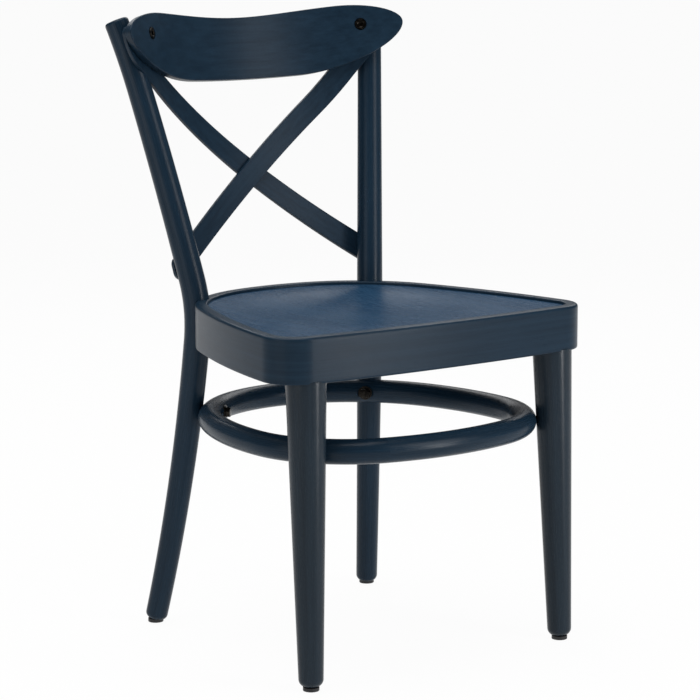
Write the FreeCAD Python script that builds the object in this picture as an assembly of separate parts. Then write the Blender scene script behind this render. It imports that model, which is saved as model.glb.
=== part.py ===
import FreeCAD, Part
import math
import os

# A bentwood dining chair with a crossed back, built from its separate pieces.
# Millimetres. The floor is Z = 0, the sitter looks towards -Y, and X = 0 is the plane of symmetry.

# Fits
fit_gap = 0.15              # between faces that are glued or bolted together
hole_play = 0.25            # around a fastener in its hole

# Seat
seat_height = 460.0         # floor to the top of the rim
rim_height = 60.0
seat_front_y = -234.3
seat_depth = 413.5
seat_front_width = 507.0    # measured at the front station
seat_front_station = 54.0   # behind the front edge
seat_rear_width = 396.0     # measured at the rear station
seat_rear_station = 134.0   # ahead of the back edge
front_edge_radius = 2700.0
front_corner_radius = 46.0
side_radius = 1080.0
rear_corner_radius = 178.0
back_edge_radius = 312.0
frame_thickness = 28.0
rim_width = 17.0
rim_round = 4.0
rim_under_round = 2.0
panel_recess = 4.0          # edge of the panel below the rim
panel_thickness = 9.0
dish_radius = 178.0
dish_depth = 9.0
dish_shoulder_radius = 400.0

# Front legs
leg_side_inset = 49.0       # leg axis from the widest line of the seat, at the underside of the rim
leg_front_inset = 33.0      # leg axis from the front edge of the seat
leg_splay = 5.0             # the foot stands this far out to the side
leg_rake = 17.0             # and this far to the front
leg_foot_radius = 15.9
leg_top_radius = 26.5
leg_foot_round = 10.0
tenon_radius = 14.0
tenon_length = 30.0

# Corner blocks
block_height = 36.0
block_reach = 100.0         # from the front corner of the frame to the sloping face

# Rear posts
post_bearing = 42.6         # degrees, direction in which the rear seat corner meets the post
post_stand_off = 2.0        # post axis outside the seat outline, at the knee
post_let_in = 7.0           # depth of the notch in the seat frame
lower_plane = 33.5          # degrees, the lower half is bent in an upright plane turned out from +Y
upper_plane = 36.5          # degrees, the same for the upper half
knee_drop = 34.0            # knee below the top of the rim
knee_radius = 240.0
knee_lower_lean = 5.7       # degrees
knee_upper_lean = 14.5      # degrees
lower_bend_radius = 3070.0
upper_run = 265.0
upper_lean = 17.1           # degrees, at the end of the upper run
top_run = 100.5
top_lean = 22.5             # degrees
post_foot_radius = 15.2
post_knee_radius = 18.2
post_top_radius = 16.6
post_top_round = 4.0
post_foot_round = 8.0

# Stretcher ring
ring_height = 303.0
ring_rod_radius = 16.5
ring_front_radius = 0.7396 * seat_front_width   # the ring grows with the seat
ring_corner_radius = 0.2801 * seat_front_width
ring_side_radius = 0.6963 * seat_front_width
ring_leg_bearing = 37.9     # degrees, corner centre to front leg, turned forward from +X
ring_post_bearing = 43.4    # degrees, back centre to rear post, turned out from +Y
ring_let_in = 0.4           # shallow cove where the rod bears on a leg

# Crossed laths
lath_low_height = 506.5     # where a lath crosses behind a post
lath_high_height = 787.0    # where a lath crosses in front of a post
lath_cross_depth = 43.0     # where the laths cross each other, behind the plane of the posts
lath_width = 30.5
lath_thickness = 6.5
lath_cross_gap = 0.45       # between the laths, in the middle of their crossing
lath_head_radius = 20.0     # around the crest bolt
lath_head_in = 6.5          # centre of that round, inside the end of the bolt
lath_head_round = 60.0      # outer corner, at the tip of the crest
lath_head_let_in = 2.5      # depth of the seat in the post
front_head_lift = 8.0       # degrees, the head of the front lath is turned up
rear_head_lift = 0.0        # degrees, the rear lath is straight
lath_bend_in = 75.0         # that turn, inside the axis of the post
lath_bend_round = 450.0
lath_tail_run = 15.0        # past the axis of the post
lath_tail_let_in = 1.5
lath_tail_round = 11.0

# Crest rail
crest_thickness = 12.5
crest_bend_radius = 320.0   # of the front face
crest_end_turn = 30.0       # degrees, the straight ends are turned forward
crest_overhang = 26.0       # tip beyond the post axis
crest_tip_rise = 25.0       # heights above the upper lath crossing, along the lean of the back
crest_hump_rise = 57.7
crest_middle_rise = 52.5
crest_drop = 34.8
crest_hump_in = 85.0        # top of the hump, inside the tip
crest_flat_half = 89.0      # half of the flat stretch of the lower edge
crest_round = 1.5

# Fasteners
crest_bolt_radius = 3.5
crest_bolt_head_radius = 7.75
crest_bolt_head_height = 5.0
crest_bolt_socket = 7.5     # across the flats
crest_bolt_socket_depth = 3.5
crest_bolt_sink = 4.0       # head seat below the front face of the crest
crest_bolt_recess_play = 1.0
crest_bolt_angle = 38.0     # degrees, turned in from the plane of the back
crest_bolt_inset = 10.2     # where the bolt enters the post, inside its axis
crest_bolt_rise = 27.5      # above the upper lath crossing
crest_bolt_grip = 14.0      # length beyond the post axis plane
lath_screw_radius = 2.2
lath_screw_length = 26.0
lath_screw_head_radius = 4.5
lath_screw_head_height = 2.6
ring_bolt_radius = 4.0
ring_bolt_bite = 22.0       # length inside a leg
ring_bolt_head_flats = 13.0
ring_bolt_head_height = 6.0
washer_radius = 9.7
washer_thickness = 2.2
spot_face_depth = 1.0       # flat for a washer on the round rod
ring_screw_radius = 2.5
ring_screw_head_radius = 4.8
ring_screw_sink = 1.2       # head below the inside of the rod
seat_bolt_radius = 3.0
seat_bolt_bite = 17.0
seat_bolt_spacing = 26.0
seat_bolt_head_flats = 10.0
seat_bolt_head_height = 4.2
seat_washer_radius = 8.0
seat_washer_thickness = 1.6
insert_radius = 4.8
insert_length = 13.0
block_screw_radius = 2.0
block_screw_length = 26.0
block_screw_head_radius = 3.8
block_screw_head_height = 2.4
block_screw_spread = 58.0   # screw from the corner of the inner frame

# Glides
glide_radius = 10.7
glide_height = 5.0
nail_radius = 1.25
nail_length = 16.0
nail_head_radius = 3.5
nail_head_height = 1.2
nail_recess = 1.5           # nail head above the floor
glide_round = 1.0

Vec = FreeCAD.Vector
UP = Vec(0, 0, 1)
rim_bottom = seat_height - rim_height
seat_back_y = seat_front_y + seat_depth
nail_seat = nail_recess + nail_head_height
nail_top = nail_seat + nail_length
rebate_floor = seat_height - panel_recess - panel_thickness
reach = 2000.0              # larger than the chair, for cutting planes
tail_sweep = 26.0           # degrees, carries the curved sheet of a lath past its tail


def flat(x, y, z=0.0):
    return Vec(x, y, z)


def circle_meet(centre_a, radius_a, centre_b, radius_b, near):
    """The meeting point of two circles in plan that lies nearer to a given point."""
    between = centre_b - centre_a
    along = (radius_a ** 2 - radius_b ** 2 + between.Length ** 2) / (2 * between.Length)
    half = math.sqrt(radius_a ** 2 - along ** 2)
    unit = between / between.Length
    foot = centre_a + unit * along
    side = Vec(-unit.y, unit.x, 0) * half
    first, second = foot + side, foot - side
    return first if (first - near).Length < (second - near).Length else second


def arc_edge(centre, start, end):
    """The short arc about a centre from one point to another."""
    radius = (start - centre).Length
    middle = (start - centre) + (end - centre)
    return Part.Arc(start, centre + middle * (radius / middle.Length), end).toShape()


def beyond(centre, towards, distance):
    """The point at a distance from a centre, in the direction of another point."""
    way = towards - centre
    return centre + way * (distance / way.Length)


def mirrored(point):
    return Vec(-point.x, point.y, point.z)


def mirrored_shape(shape):
    return shape.mirror(Vec(0, 0, 0), Vec(1, 0, 0))


def cylinder(start, way, length, radius):
    return Part.makeCylinder(radius, length, start, way)


def hexagon(start, way, length, across_flats):
    """A hexagonal prism that starts at a point and runs along a direction."""
    corner = across_flats / math.sqrt(3)
    points = [Vec(corner * math.cos(math.radians(60 * i)), corner * math.sin(math.radians(60 * i)), 0)
              for i in range(7)]
    prism = Part.Face(Part.makePolygon(points)).extrude(Vec(0, 0, length))
    prism.Placement = FreeCAD.Placement(start, FreeCAD.Rotation(UP, way))
    return prism


def below(height):
    return Part.makeBox(2 * reach, 2 * reach, reach, Vec(-reach, -reach, height - reach))


def above(height):
    return Part.makeBox(2 * reach, 2 * reach, reach, Vec(-reach, -reach, height))


# Seat outline: eight tangent arcs, the same centres for every inset
front_centre = flat(0, seat_front_y + front_edge_radius)
back_centre = flat(0, seat_back_y - back_edge_radius)
side_front = flat(seat_front_width / 2, seat_front_y + seat_front_station)
side_rear = flat(seat_rear_width / 2, seat_back_y - seat_rear_station)
side_centre = circle_meet(side_front, side_radius, side_rear, side_radius, flat(-side_radius, 0))
front_corner_centre = circle_meet(side_centre, side_radius - front_corner_radius,
                                  front_centre, front_edge_radius - front_corner_radius,
                                  flat(seat_front_width / 2, seat_front_y))
rear_corner_centre = circle_meet(side_centre, side_radius - rear_corner_radius,
                                 back_centre, back_edge_radius - rear_corner_radius,
                                 flat(seat_rear_width / 2, seat_back_y))


def seat_face(inset, height):
    """The seat outline drawn in by an inset, as a face at a height."""
    ends = [beyond(front_centre, front_corner_centre, front_edge_radius - inset),
            beyond(side_centre, front_corner_centre, side_radius - inset),
            beyond(side_centre, rear_corner_centre, side_radius - inset),
            beyond(back_centre, rear_corner_centre, back_edge_radius - inset)]
    centres = [front_corner_centre, side_centre, rear_corner_centre]
    right = [arc_edge(centre, ends[i], ends[i + 1]) for i, centre in enumerate(centres)]
    left = [arc_edge(mirrored(centre), mirrored(ends[i]), mirrored(ends[i + 1]))
            for i, centre in enumerate(centres)]
    front = arc_edge(front_centre, mirrored(ends[0]), ends[0])
    back = arc_edge(back_centre, ends[3], mirrored(ends[3]))
    face = Part.Face(Part.Wire(Part.__sortEdges__([front, back] + right + left)))
    face.translate(Vec(0, 0, height))
    return face


def seat_prism(inset, low, high):
    return seat_face(inset, low).extrude(Vec(0, 0, high - low))


def edges_at(shape, height, inset):
    """The edges of a seat prism that lie at a height and follow the outline at an inset."""
    outline = seat_face(inset, height).OuterWire
    return [edge for edge in shape.Edges
            if edge.BoundBox.ZLength < 1e-4 and outline.distToShape(Part.Vertex(edge.CenterOfMass))[0] < 60
            and max(outline.distToShape(v)[0] for v in edge.Vertexes) < 1e-4]


# Front legs
leg_top = Vec(seat_front_width / 2 - leg_side_inset, seat_front_y + leg_front_inset, rim_bottom)
leg_foot = Vec(leg_top.x + leg_splay, leg_top.y - leg_rake, 0)
leg_way = (leg_top - leg_foot) / (leg_top - leg_foot).Length


def leg_point(height):
    return leg_foot + (leg_top - leg_foot) * (height / rim_bottom)


def leg_radius(height):
    return leg_foot_radius + (leg_top_radius - leg_foot_radius) * height / rim_bottom


def leg_cone(extra):
    """The tapered leg from below the floor to above the rim's underside, thickened by a little."""
    low, high = -rim_height, rim_bottom + rim_height
    length = (leg_point(high) - leg_point(low)).Length
    return Part.makeCone(leg_radius(low) + extra, leg_radius(high) + extra, length, leg_point(low), leg_way)


def foot_edges(shape):
    return [e for e in shape.Edges if abs(e.BoundBox.ZMax - glide_height) < 1e-3]


def nail_hole(point):
    return cylinder(Vec(point.x, point.y, 0), UP, nail_top + hole_play, nail_radius + hole_play)


def front_leg():
    leg = leg_cone(0).cut(below(glide_height)).cut(above(rim_bottom))
    leg = leg.makeFillet(leg_foot_round, foot_edges(leg))
    tenon_start = leg_point(rim_bottom - tenon_radius)
    tenon = cylinder(tenon_start, leg_way, tenon_radius + tenon_length, tenon_radius)
    return leg.fuse(tenon).removeSplitter().cut(nail_hole(leg_point(glide_height)))


def tenon_hole():
    start = leg_point(rim_bottom - tenon_radius)
    return cylinder(start, leg_way, tenon_radius + tenon_length + fit_gap, tenon_radius + fit_gap)


# Rear posts: tangent arcs in an upright plane, measured outward from the knee
bearing = math.radians(post_bearing)
knee = rear_corner_centre + flat(math.sin(bearing), math.cos(bearing)) * (rear_corner_radius + post_stand_off)
knee.z = seat_height - knee_drop


def arc_run(out, height, lean, radius, end_lean):
    """One arc: where it starts, its lean there, its radius, and where and how it ends."""
    end_out = out + radius * (math.cos(lean) - math.cos(end_lean))
    end_height = height + radius * (math.sin(end_lean) - math.sin(lean))
    return (out, height, lean, radius, end_out, end_height, end_lean)


def upper_runs():
    leans = [math.radians(lean) for lean in (knee_upper_lean, upper_lean, top_lean)]
    first = arc_run(0, 0, 0, knee_radius, leans[0])
    second = arc_run(first[4], first[5], leans[0], upper_run / (leans[1] - leans[0]), leans[1])
    third = arc_run(second[4], second[5], leans[1], top_run / (leans[2] - leans[1]), leans[2])
    return [first, second, third]


def lower_runs():
    """Arcs measured downward from the knee, the last one to below the floor."""
    lean = math.radians(knee_lower_lean)
    first = arc_run(0, 0, 0, knee_radius, lean)
    floor = knee.z + rim_height
    end_lean = math.asin(math.sin(lean) + (floor - first[5]) / lower_bend_radius)
    return [first, arc_run(first[4], first[5], lean, lower_bend_radius, end_lean)]


post_top_height = knee.z + upper_runs()[-1][5]


def post_state(height):
    """Outward distance from the knee and signed lean of the post axis at a height."""
    rising = height >= knee.z
    runs = upper_runs() if rising else lower_runs()
    travel = abs(height - knee.z)
    run = next((r for r in runs if travel <= r[5]), runs[-1])
    lean = math.asin(math.sin(run[2]) + (travel - run[1]) / run[3])
    return run[0] + run[3] * (math.cos(run[2]) - math.cos(lean)), lean if rising else -lean


def post_plane(height):
    turn = math.radians(upper_plane if height >= knee.z else lower_plane)
    return flat(math.sin(turn), math.cos(turn))


def post_point(height):
    return Vec(knee.x, knee.y, height) + post_plane(height) * post_state(height)[0]


def post_way(height):
    lean = post_state(height)[1]
    return post_plane(height) * math.sin(lean) + UP * math.cos(lean)


def post_radius(height):
    if height >= knee.z:
        share = (height - knee.z) / (post_top_height - knee.z)
        return post_knee_radius + (post_top_radius - post_knee_radius) * share
    return post_knee_radius + (post_foot_radius - post_knee_radius) * (knee.z - height) / knee.z


def post_rod(extra):
    """The bent rod as a loft through round sections, thickened by a little."""
    low = -rim_height / 2
    marks = 26
    sections = []
    for i in range(marks + 1):
        height = low + (post_top_height - low) * i / marks
        ring = Part.Circle(post_point(height), post_way(height), post_radius(height) + extra)
        sections.append(Part.Wire(ring.toShape()))
    return Part.makeLoft(sections, True, False)


def rear_post():
    post = post_rod(0).cut(below(glide_height))
    post = post.makeFillet(post_foot_round, foot_edges(post))
    top = [e for e in post.Edges if (e.CenterOfMass - post_point(post_top_height)).Length < 1.0]
    post = post.makeFillet(post_top_round, top)
    post = post.cut(seat_prism(post_let_in - fit_gap, rim_bottom - fit_gap, seat_height + fit_gap))
    return post.cut(nail_hole(post_point(glide_height)))


def post_notch():
    """The part of a post that is let into the seat frame."""
    return post_rod(fit_gap).cut(seat_prism(post_let_in, rim_bottom - fit_gap, seat_height + fit_gap))


# Stretcher ring: tangent arcs that bear on the inside of all four legs
ring_leg = leg_point(ring_height)
ring_leg_radius = leg_radius(ring_height)
ring_post = post_point(ring_height)
ring_post_radius = post_radius(ring_height)
leg_side = flat(math.cos(math.radians(ring_leg_bearing)), -math.sin(math.radians(ring_leg_bearing)))
post_side = flat(math.sin(math.radians(ring_post_bearing)), math.cos(math.radians(ring_post_bearing)))
leg_reach = ring_rod_radius + ring_leg_radius - ring_let_in
post_reach = ring_rod_radius + ring_post_radius - ring_let_in
ring_corner = ring_leg - leg_side * (ring_corner_radius + leg_reach)
ring_back = Vec(0, ring_post.y - ring_post.x * post_side.y / post_side.x, ring_height)
ring_back_radius = ring_post.x / post_side.x - post_reach
ring_front_gap = ring_front_radius - ring_corner_radius
ring_front = Vec(0, ring_corner.y + math.sqrt(ring_front_gap ** 2 - ring_corner.x ** 2), ring_height)
ring_side = circle_meet(ring_corner, ring_side_radius - ring_corner_radius,
                        ring_back, ring_side_radius - ring_back_radius, flat(-reach, 0, ring_height))


def ring_arc(centre, start, end):
    """A bent piece of rod about an upright axis, from one point of its middle line to another."""
    before = start - centre
    after = end - centre
    turn = math.degrees(before.getAngle(after))
    turn = math.copysign(turn, before.cross(after).z)
    section = Part.Circle(start, UP.cross(before), ring_rod_radius)
    return Part.Face(Part.Wire(section.toShape())).revolve(centre, UP, turn)


def stretcher_rod():
    ends = [beyond(ring_front, ring_corner, ring_front_radius),
            beyond(ring_side, ring_corner, ring_side_radius),
            beyond(ring_side, ring_back, ring_side_radius)]
    arcs = [ring_arc(ring_corner, ends[0], ends[1]), ring_arc(ring_side, ends[1], ends[2])]
    arcs += [mirrored_shape(arc) for arc in arcs]
    arcs.append(ring_arc(ring_front, mirrored(ends[0]), ends[0]))
    arcs.append(ring_arc(ring_back, ends[2], mirrored(ends[2])))
    return arcs[0].multiFuse(arcs[1:]).removeSplitter()


# Back: a leaning plane through the two crossings of each post. Local X, N (rearward) and A (up the lean).
low_cross = post_point(lath_low_height)
high_cross = post_point(lath_high_height)
back_lean = math.degrees(math.atan2(high_cross.y - low_cross.y, high_cross.z - low_cross.z))
back_place = FreeCAD.Placement(Vec(0, low_cross.y, low_cross.z), FreeCAD.Rotation(Vec(1, 0, 0), -back_lean))
cross_rise = math.hypot(high_cross.y - low_cross.y, high_cross.z - low_cross.z)
back_span = 4 * cross_rise
high_post_radius = post_radius(lath_high_height)
low_post_radius = post_radius(lath_low_height)
crest_tip = high_cross.x + crest_overhang
end_turn = math.radians(crest_end_turn)
end_normal = Vec(math.sin(end_turn), math.cos(end_turn), 0)
lath_line = high_cross.x * end_normal.x - (high_post_radius - lath_head_let_in + lath_thickness / 2)
crest_line = lath_line - lath_thickness / 2 - crest_thickness
crest_axis = (crest_line - crest_bend_radius) / end_normal.y


# Crest bolts, in the local axes of the back
turn_in = math.radians(crest_bolt_angle)
bolt_way_local = Vec(math.sin(turn_in), math.cos(turn_in), 0)
bolt_end_local = Vec(high_cross.x - crest_bolt_inset, 0, cross_rise + crest_bolt_rise)


def in_back(shape):
    """Moves a shape made in the local axes of the back to its place in the chair."""
    placed = shape.copy()
    placed.Placement = back_place.multiply(placed.Placement)
    return placed


def back_way(way):
    return back_place.Rotation.multVec(way)


def bent_band(centre_n, radius, thickness, sweep, turned):
    """Half of a bent strip seen from above: an arc from the middle line, then a straight end."""
    inner, outer = radius - thickness / 2, radius + thickness / 2
    centre = Vec(0, centre_n, 0)
    out = Vec(turned * math.sin(sweep), math.cos(sweep), 0)
    onward = Vec(turned * math.cos(sweep), -math.sin(sweep), 0) * cross_rise
    starts = [centre + Vec(0, r, 0) for r in (inner, outer)]
    bends = [centre + out * r for r in (inner, outer)]
    ends = [bend + onward for bend in bends]
    wire = Part.Wire([arc_edge(centre, starts[0], bends[0]), Part.makeLine(bends[0], ends[0]),
                      Part.makeLine(ends[0], ends[1]), Part.makeLine(ends[1], bends[1]),
                      arc_edge(centre, bends[1], starts[1]), Part.makeLine(starts[1], starts[0])])
    band = Part.Face(wire).extrude(Vec(0, 0, back_span))
    band.translate(Vec(0, 0, -back_span / 2))
    return band


def tail_arc(step):
    """Centre and radius of the arc from the crossing of the laths to the back of a post."""
    behind_post = low_post_radius + lath_thickness / 2 - lath_tail_let_in
    rise = lath_cross_depth + step - behind_post
    centre = behind_post + (rise ** 2 - low_cross.x ** 2) / (2 * rise)
    return centre, lath_cross_depth + step - centre


def lath_sheet(step, thickness):
    """The curved sheet that a lath is cut from; its head is on +X and its tail on -X."""
    head_centre = (lath_cross_depth + step - lath_line) / (1 - end_normal.y)
    head_radius = lath_cross_depth + step - head_centre
    head = bent_band(head_centre, head_radius, thickness, end_turn, 1)
    tail_centre, tail_radius = tail_arc(step)
    tail = bent_band(tail_centre, tail_radius, thickness, math.radians(tail_sweep), -1)
    return head.fuse(tail).removeSplitter()


def through_back(face):
    """A prism from a face drawn in the front view of the back."""
    prism = face.extrude(Vec(0, back_span, 0))
    prism.translate(Vec(0, -back_span / 2, 0))
    return prism


def meet(start, way, point, along):
    """Where a line in the front view meets another one."""
    across = way.x * along.z - way.z * along.x
    return start + way * (((point.x - start.x) * along.z - (point.z - start.z) * along.x) / across)


def lath_outline(extra, lift):
    """The front view of a lath with its head on +X, as a prism through the back."""
    low, high = Vec(-low_cross.x, 0, 0), Vec(high_cross.x, 0, cross_rise)
    slope = math.atan2(high.z - low.z, high.x - low.x)
    head_slope = slope + math.radians(lift)
    along = Vec(math.cos(slope), 0, math.sin(slope))
    head_along = Vec(math.cos(head_slope), 0, math.sin(head_slope))
    half = Vec(-along.z, 0, along.x) * (lath_width / 2 + extra)
    mitre = Vec(-along.z - head_along.z, 0, along.x + head_along.x)
    bend = high - along * (lath_bend_in / along.x)
    post_line = back_place.Rotation.inverted().multVec(post_way(lath_low_height))
    post_line = Vec(-post_line.x, 0, post_line.z)
    tail = low - Vec(lath_tail_run + extra, 0, 0)
    tip = Vec(crest_tip + extra, 0, 0)
    tails = [meet(low + side, along, tail, post_line) for side in (half, half * -1)]
    bends = [meet(low + side, along, bend, mitre) for side in (half, half * -1)]
    heads = [meet(start, head_along, tip, UP) for start in bends]
    rounds = [(tails[0], lath_tail_round), (tails[1], lath_tail_round), (heads[1], lath_head_round)]
    corners = [tails[0], heads[0], heads[1], tails[1]]
    if lift:
        rounds += [(corner, lath_bend_round) for corner in bends]
        corners = [tails[0], bends[0], heads[0], heads[1], bends[1], tails[1]]
    strip = through_back(Part.Face(Part.makePolygon(corners + corners[:1])))
    for corner, radius in rounds:
        strip = strip.makeFillet(radius, [e for e in strip.Edges if (e.CenterOfMass - corner).Length < 1e-3])
    knob = bolt_end_local - Vec(lath_head_in, back_span / 2, 0)
    blank = strip.fuse(cylinder(knob, Vec(0, 1, 0), back_span, lath_head_radius + extra))
    under_tip = Part.makeBox(back_span, back_span, back_span,
                             Vec(-back_span / 2, -back_span / 2, cross_rise + crest_tip_rise - back_span))
    return blank.common(crest_outline(extra).fuse(under_tip)).removeSplitter()


lath_step = (lath_thickness + lath_cross_gap) / 2


def front_lath(extra):
    """The lath that passes in front, with its head on the right."""
    sheet = lath_sheet(-lath_step, lath_thickness + 2 * extra)
    return in_back(sheet.common(lath_outline(extra, front_head_lift)))


def rear_lath(extra):
    """The lath that passes behind, with its head on the left."""
    sheet = lath_sheet(lath_step, lath_thickness + 2 * extra)
    return mirrored_shape(in_back(sheet.common(lath_outline(extra, rear_head_lift))))


def bezier(points):
    curve = Part.BezierCurve()
    curve.setPoles([Vec(x, 0, a) for x, a in points])
    return curve.toShape()


def crest_outline(extra):
    """The front view of the crest: a dip in the middle, a hump on each side and rounded tips."""
    tip = crest_tip + extra
    hump = tip - crest_hump_in
    heights = {"tip": crest_tip_rise, "hump": crest_hump_rise + extra, "middle": crest_middle_rise + extra,
               "low": -crest_drop - extra}
    a = {name: cross_rise + rise for name, rise in heights.items()}
    edges = []
    for turned in (1, -1):
        edges.append(bezier([(0, a["middle"]), (turned * hump * 0.35, a["middle"]),
                             (turned * hump * 0.66, a["hump"]), (turned * hump, a["hump"])]))
        edges.append(bezier([(turned * hump, a["hump"]), (turned * (hump + tip) * 0.51, a["hump"]),
                             (turned * tip, (a["hump"] + a["tip"]) / 2), (turned * tip, a["tip"])]))
        edges.append(bezier([(turned * tip, a["tip"]), (turned * tip, a["tip"] * 0.58 + a["low"] * 0.42),
                             (turned * (crest_flat_half + tip) * 0.52, a["low"]),
                             (turned * crest_flat_half, a["low"])]))
    edges.append(Part.makeLine(Vec(-crest_flat_half, 0, a["low"]), Vec(crest_flat_half, 0, a["low"])))
    return through_back(Part.Face(Part.Wire(Part.__sortEdges__(edges))))


def crest_blank():
    """The bent board cut to its outline."""
    radius = crest_bend_radius + crest_thickness / 2
    halves = [bent_band(crest_axis, radius, crest_thickness, end_turn, turned) for turned in (1, -1)]
    board = halves[0].fuse(halves[1]).removeSplitter().common(crest_outline(0))
    return board.makeFillet(crest_round, [e for e in board.Edges if e.Length > crest_thickness * 1.5])


def crest_bolt_start():
    """Where the bolt's line meets the front face of the crest."""
    travel = (bolt_end_local.dot(end_normal) - crest_line) / bolt_way_local.dot(end_normal)
    return bolt_end_local - bolt_way_local * travel


def crest_bolt_frame():
    """Seat of the head, direction and shank length, in the chair's axes."""
    seat = crest_bolt_start() + bolt_way_local * crest_bolt_sink
    length = (bolt_end_local - seat).Length + crest_bolt_grip
    return back_place.multVec(seat), back_way(bolt_way_local), length


def crest_bolt():
    seat, way, length = crest_bolt_frame()
    head = cylinder(seat, way * -1, crest_bolt_head_height, crest_bolt_head_radius)
    socket_start = seat - way * (crest_bolt_head_height - crest_bolt_socket_depth)
    head = head.cut(hexagon(socket_start, way * -1, crest_bolt_head_height, crest_bolt_socket))
    return head.fuse(cylinder(seat, way, length, crest_bolt_radius)).removeSplitter()


def crest_bolt_hole():
    seat, way, length = crest_bolt_frame()
    recess = cylinder(seat, way * -1, 2 * crest_thickness, crest_bolt_head_radius + crest_bolt_recess_play)
    return recess.fuse(cylinder(seat, way, length + hole_play, crest_bolt_radius + hole_play))


# Screws through the lath tails into the posts, driven from behind
def lath_screw_frame(step):
    """Seat of the head behind a tail and the way in, on the right-hand post."""
    tail_centre, tail_radius = tail_arc(step)
    outward = Vec(low_cross.x, low_post_radius - tail_centre, 0)
    outward = outward / outward.Length
    seat = Vec(0, tail_centre, 0) + outward * (tail_radius + lath_thickness / 2)
    return back_place.multVec(seat), back_way(outward * -1)


def lath_screw(step):
    seat, way = lath_screw_frame(step)
    head = cylinder(seat, way * -1, lath_screw_head_height, lath_screw_head_radius)
    return head.fuse(cylinder(seat, way, lath_screw_length, lath_screw_radius)).removeSplitter()


def lath_screw_hole(step):
    seat, way = lath_screw_frame(step)
    return cylinder(seat, way, lath_screw_length + hole_play, lath_screw_radius + hole_play)


# Bolts from the inside of the ring into the posts
ring_bolt_seat = ring_post - post_side * (post_reach + ring_rod_radius - spot_face_depth)
ring_bolt_length = washer_thickness + 2 * ring_rod_radius - spot_face_depth - ring_let_in + ring_bolt_bite


def ring_bolt():
    under_head = ring_bolt_seat - post_side * washer_thickness
    head = hexagon(under_head, post_side * -1, ring_bolt_head_height, ring_bolt_head_flats)
    return head.fuse(cylinder(under_head, post_side, ring_bolt_length, ring_bolt_radius)).removeSplitter()


def ring_washer():
    disc = cylinder(ring_bolt_seat, post_side * -1, washer_thickness, washer_radius)
    return disc.cut(cylinder(ring_bolt_seat, post_side * -1, washer_thickness, ring_bolt_radius + hole_play))


def ring_bolt_hole():
    spot = cylinder(ring_bolt_seat, post_side * -1, ring_rod_radius, washer_radius + 2 * hole_play)
    shank = cylinder(ring_bolt_seat, post_side, ring_bolt_length + hole_play, ring_bolt_radius + hole_play)
    return spot.fuse(shank)


# Sunk screws from the inside of the ring into the front legs
ring_screw_head = ring_leg - leg_side * (leg_reach + ring_rod_radius - ring_screw_sink)
ring_screw_length = 2 * ring_rod_radius - ring_screw_sink - ring_let_in + ring_bolt_bite


def ring_screw(play):
    """A sunk screw, or with some play the space it takes up."""
    head_size, size = ring_screw_head_radius + play, ring_screw_radius + play
    cone = Part.makeCone(head_size, size, head_size - size, ring_screw_head, leg_side)
    return cone.fuse(cylinder(ring_screw_head, leg_side, ring_screw_length + play, size)).removeSplitter()


def ring_screw_hole():
    way_in = cylinder(ring_screw_head, leg_side * -1, ring_rod_radius, ring_screw_head_radius + hole_play)
    return ring_screw(hole_play).fuse(way_in).removeSplitter()


# Bolts from the inside of the seat frame into the posts
seat_bolt_way = flat(math.sin(bearing), math.cos(bearing))
seat_bolt_levels = [rim_bottom + (rebate_floor - rim_bottom - seat_bolt_spacing) / 2 + seat_bolt_spacing * i
                    for i in range(2)]


seat_bolt_reach = frame_thickness - spot_face_depth - post_let_in + seat_bolt_bite


def seat_bolt_seat(level):
    return rear_corner_centre + seat_bolt_way * (rear_corner_radius - frame_thickness + spot_face_depth) \
        + Vec(0, 0, level)


def seat_bolt(level):
    under_head = seat_bolt_seat(level) - seat_bolt_way * seat_washer_thickness
    length = seat_washer_thickness + seat_bolt_reach
    head = hexagon(under_head, seat_bolt_way * -1, seat_bolt_head_height, seat_bolt_head_flats)
    return head.fuse(cylinder(under_head, seat_bolt_way, length, seat_bolt_radius)).removeSplitter()


def seat_washer(level):
    disc = cylinder(seat_bolt_seat(level), seat_bolt_way * -1, seat_washer_thickness, seat_washer_radius)
    return disc.cut(cylinder(seat_bolt_seat(level), seat_bolt_way * -1, seat_washer_thickness,
                             seat_bolt_radius + hole_play))


def seat_bolt_hole(level):
    start = seat_bolt_seat(level)
    spot = cylinder(start, seat_bolt_way * -1, frame_thickness, seat_washer_radius + 2 * hole_play)
    length = seat_bolt_reach + hole_play
    return spot.fuse(cylinder(start, seat_bolt_way, length, seat_bolt_radius + hole_play))


def insert_start(level):
    depth = rear_corner_radius - post_let_in + 2 * fit_gap
    return rear_corner_centre + seat_bolt_way * depth + Vec(0, 0, level)


def seat_insert(level):
    sleeve = cylinder(insert_start(level), seat_bolt_way, insert_length, insert_radius)
    return sleeve.cut(cylinder(insert_start(level), seat_bolt_way, insert_length, seat_bolt_radius + fit_gap))


def insert_hole(level):
    start = insert_start(level) - seat_bolt_way * post_let_in
    length = post_let_in + insert_length + fit_gap
    return cylinder(start, seat_bolt_way, length, insert_radius + fit_gap)


# Corner blocks inside the front of the frame
inner_corner = front_corner_centre + flat(math.sqrt(0.5), -math.sqrt(0.5)) \
    * (front_corner_radius - frame_thickness)
block_screw_level = rim_bottom + block_height / 2


def corner_block():
    block = seat_prism(frame_thickness + fit_gap, rim_bottom, rim_bottom + block_height)
    slope = flat(1, -1) / math.sqrt(2)
    keep = Part.makeBox(reach, reach, reach, Vec(-reach / 2, -reach, -reach / 2))
    keep.rotate(Vec(0, 0, 0), UP, 45)
    keep.translate(inner_corner - slope * block_reach * math.sqrt(0.5) + Vec(0, 0, rim_bottom))
    return block.common(keep)


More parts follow.
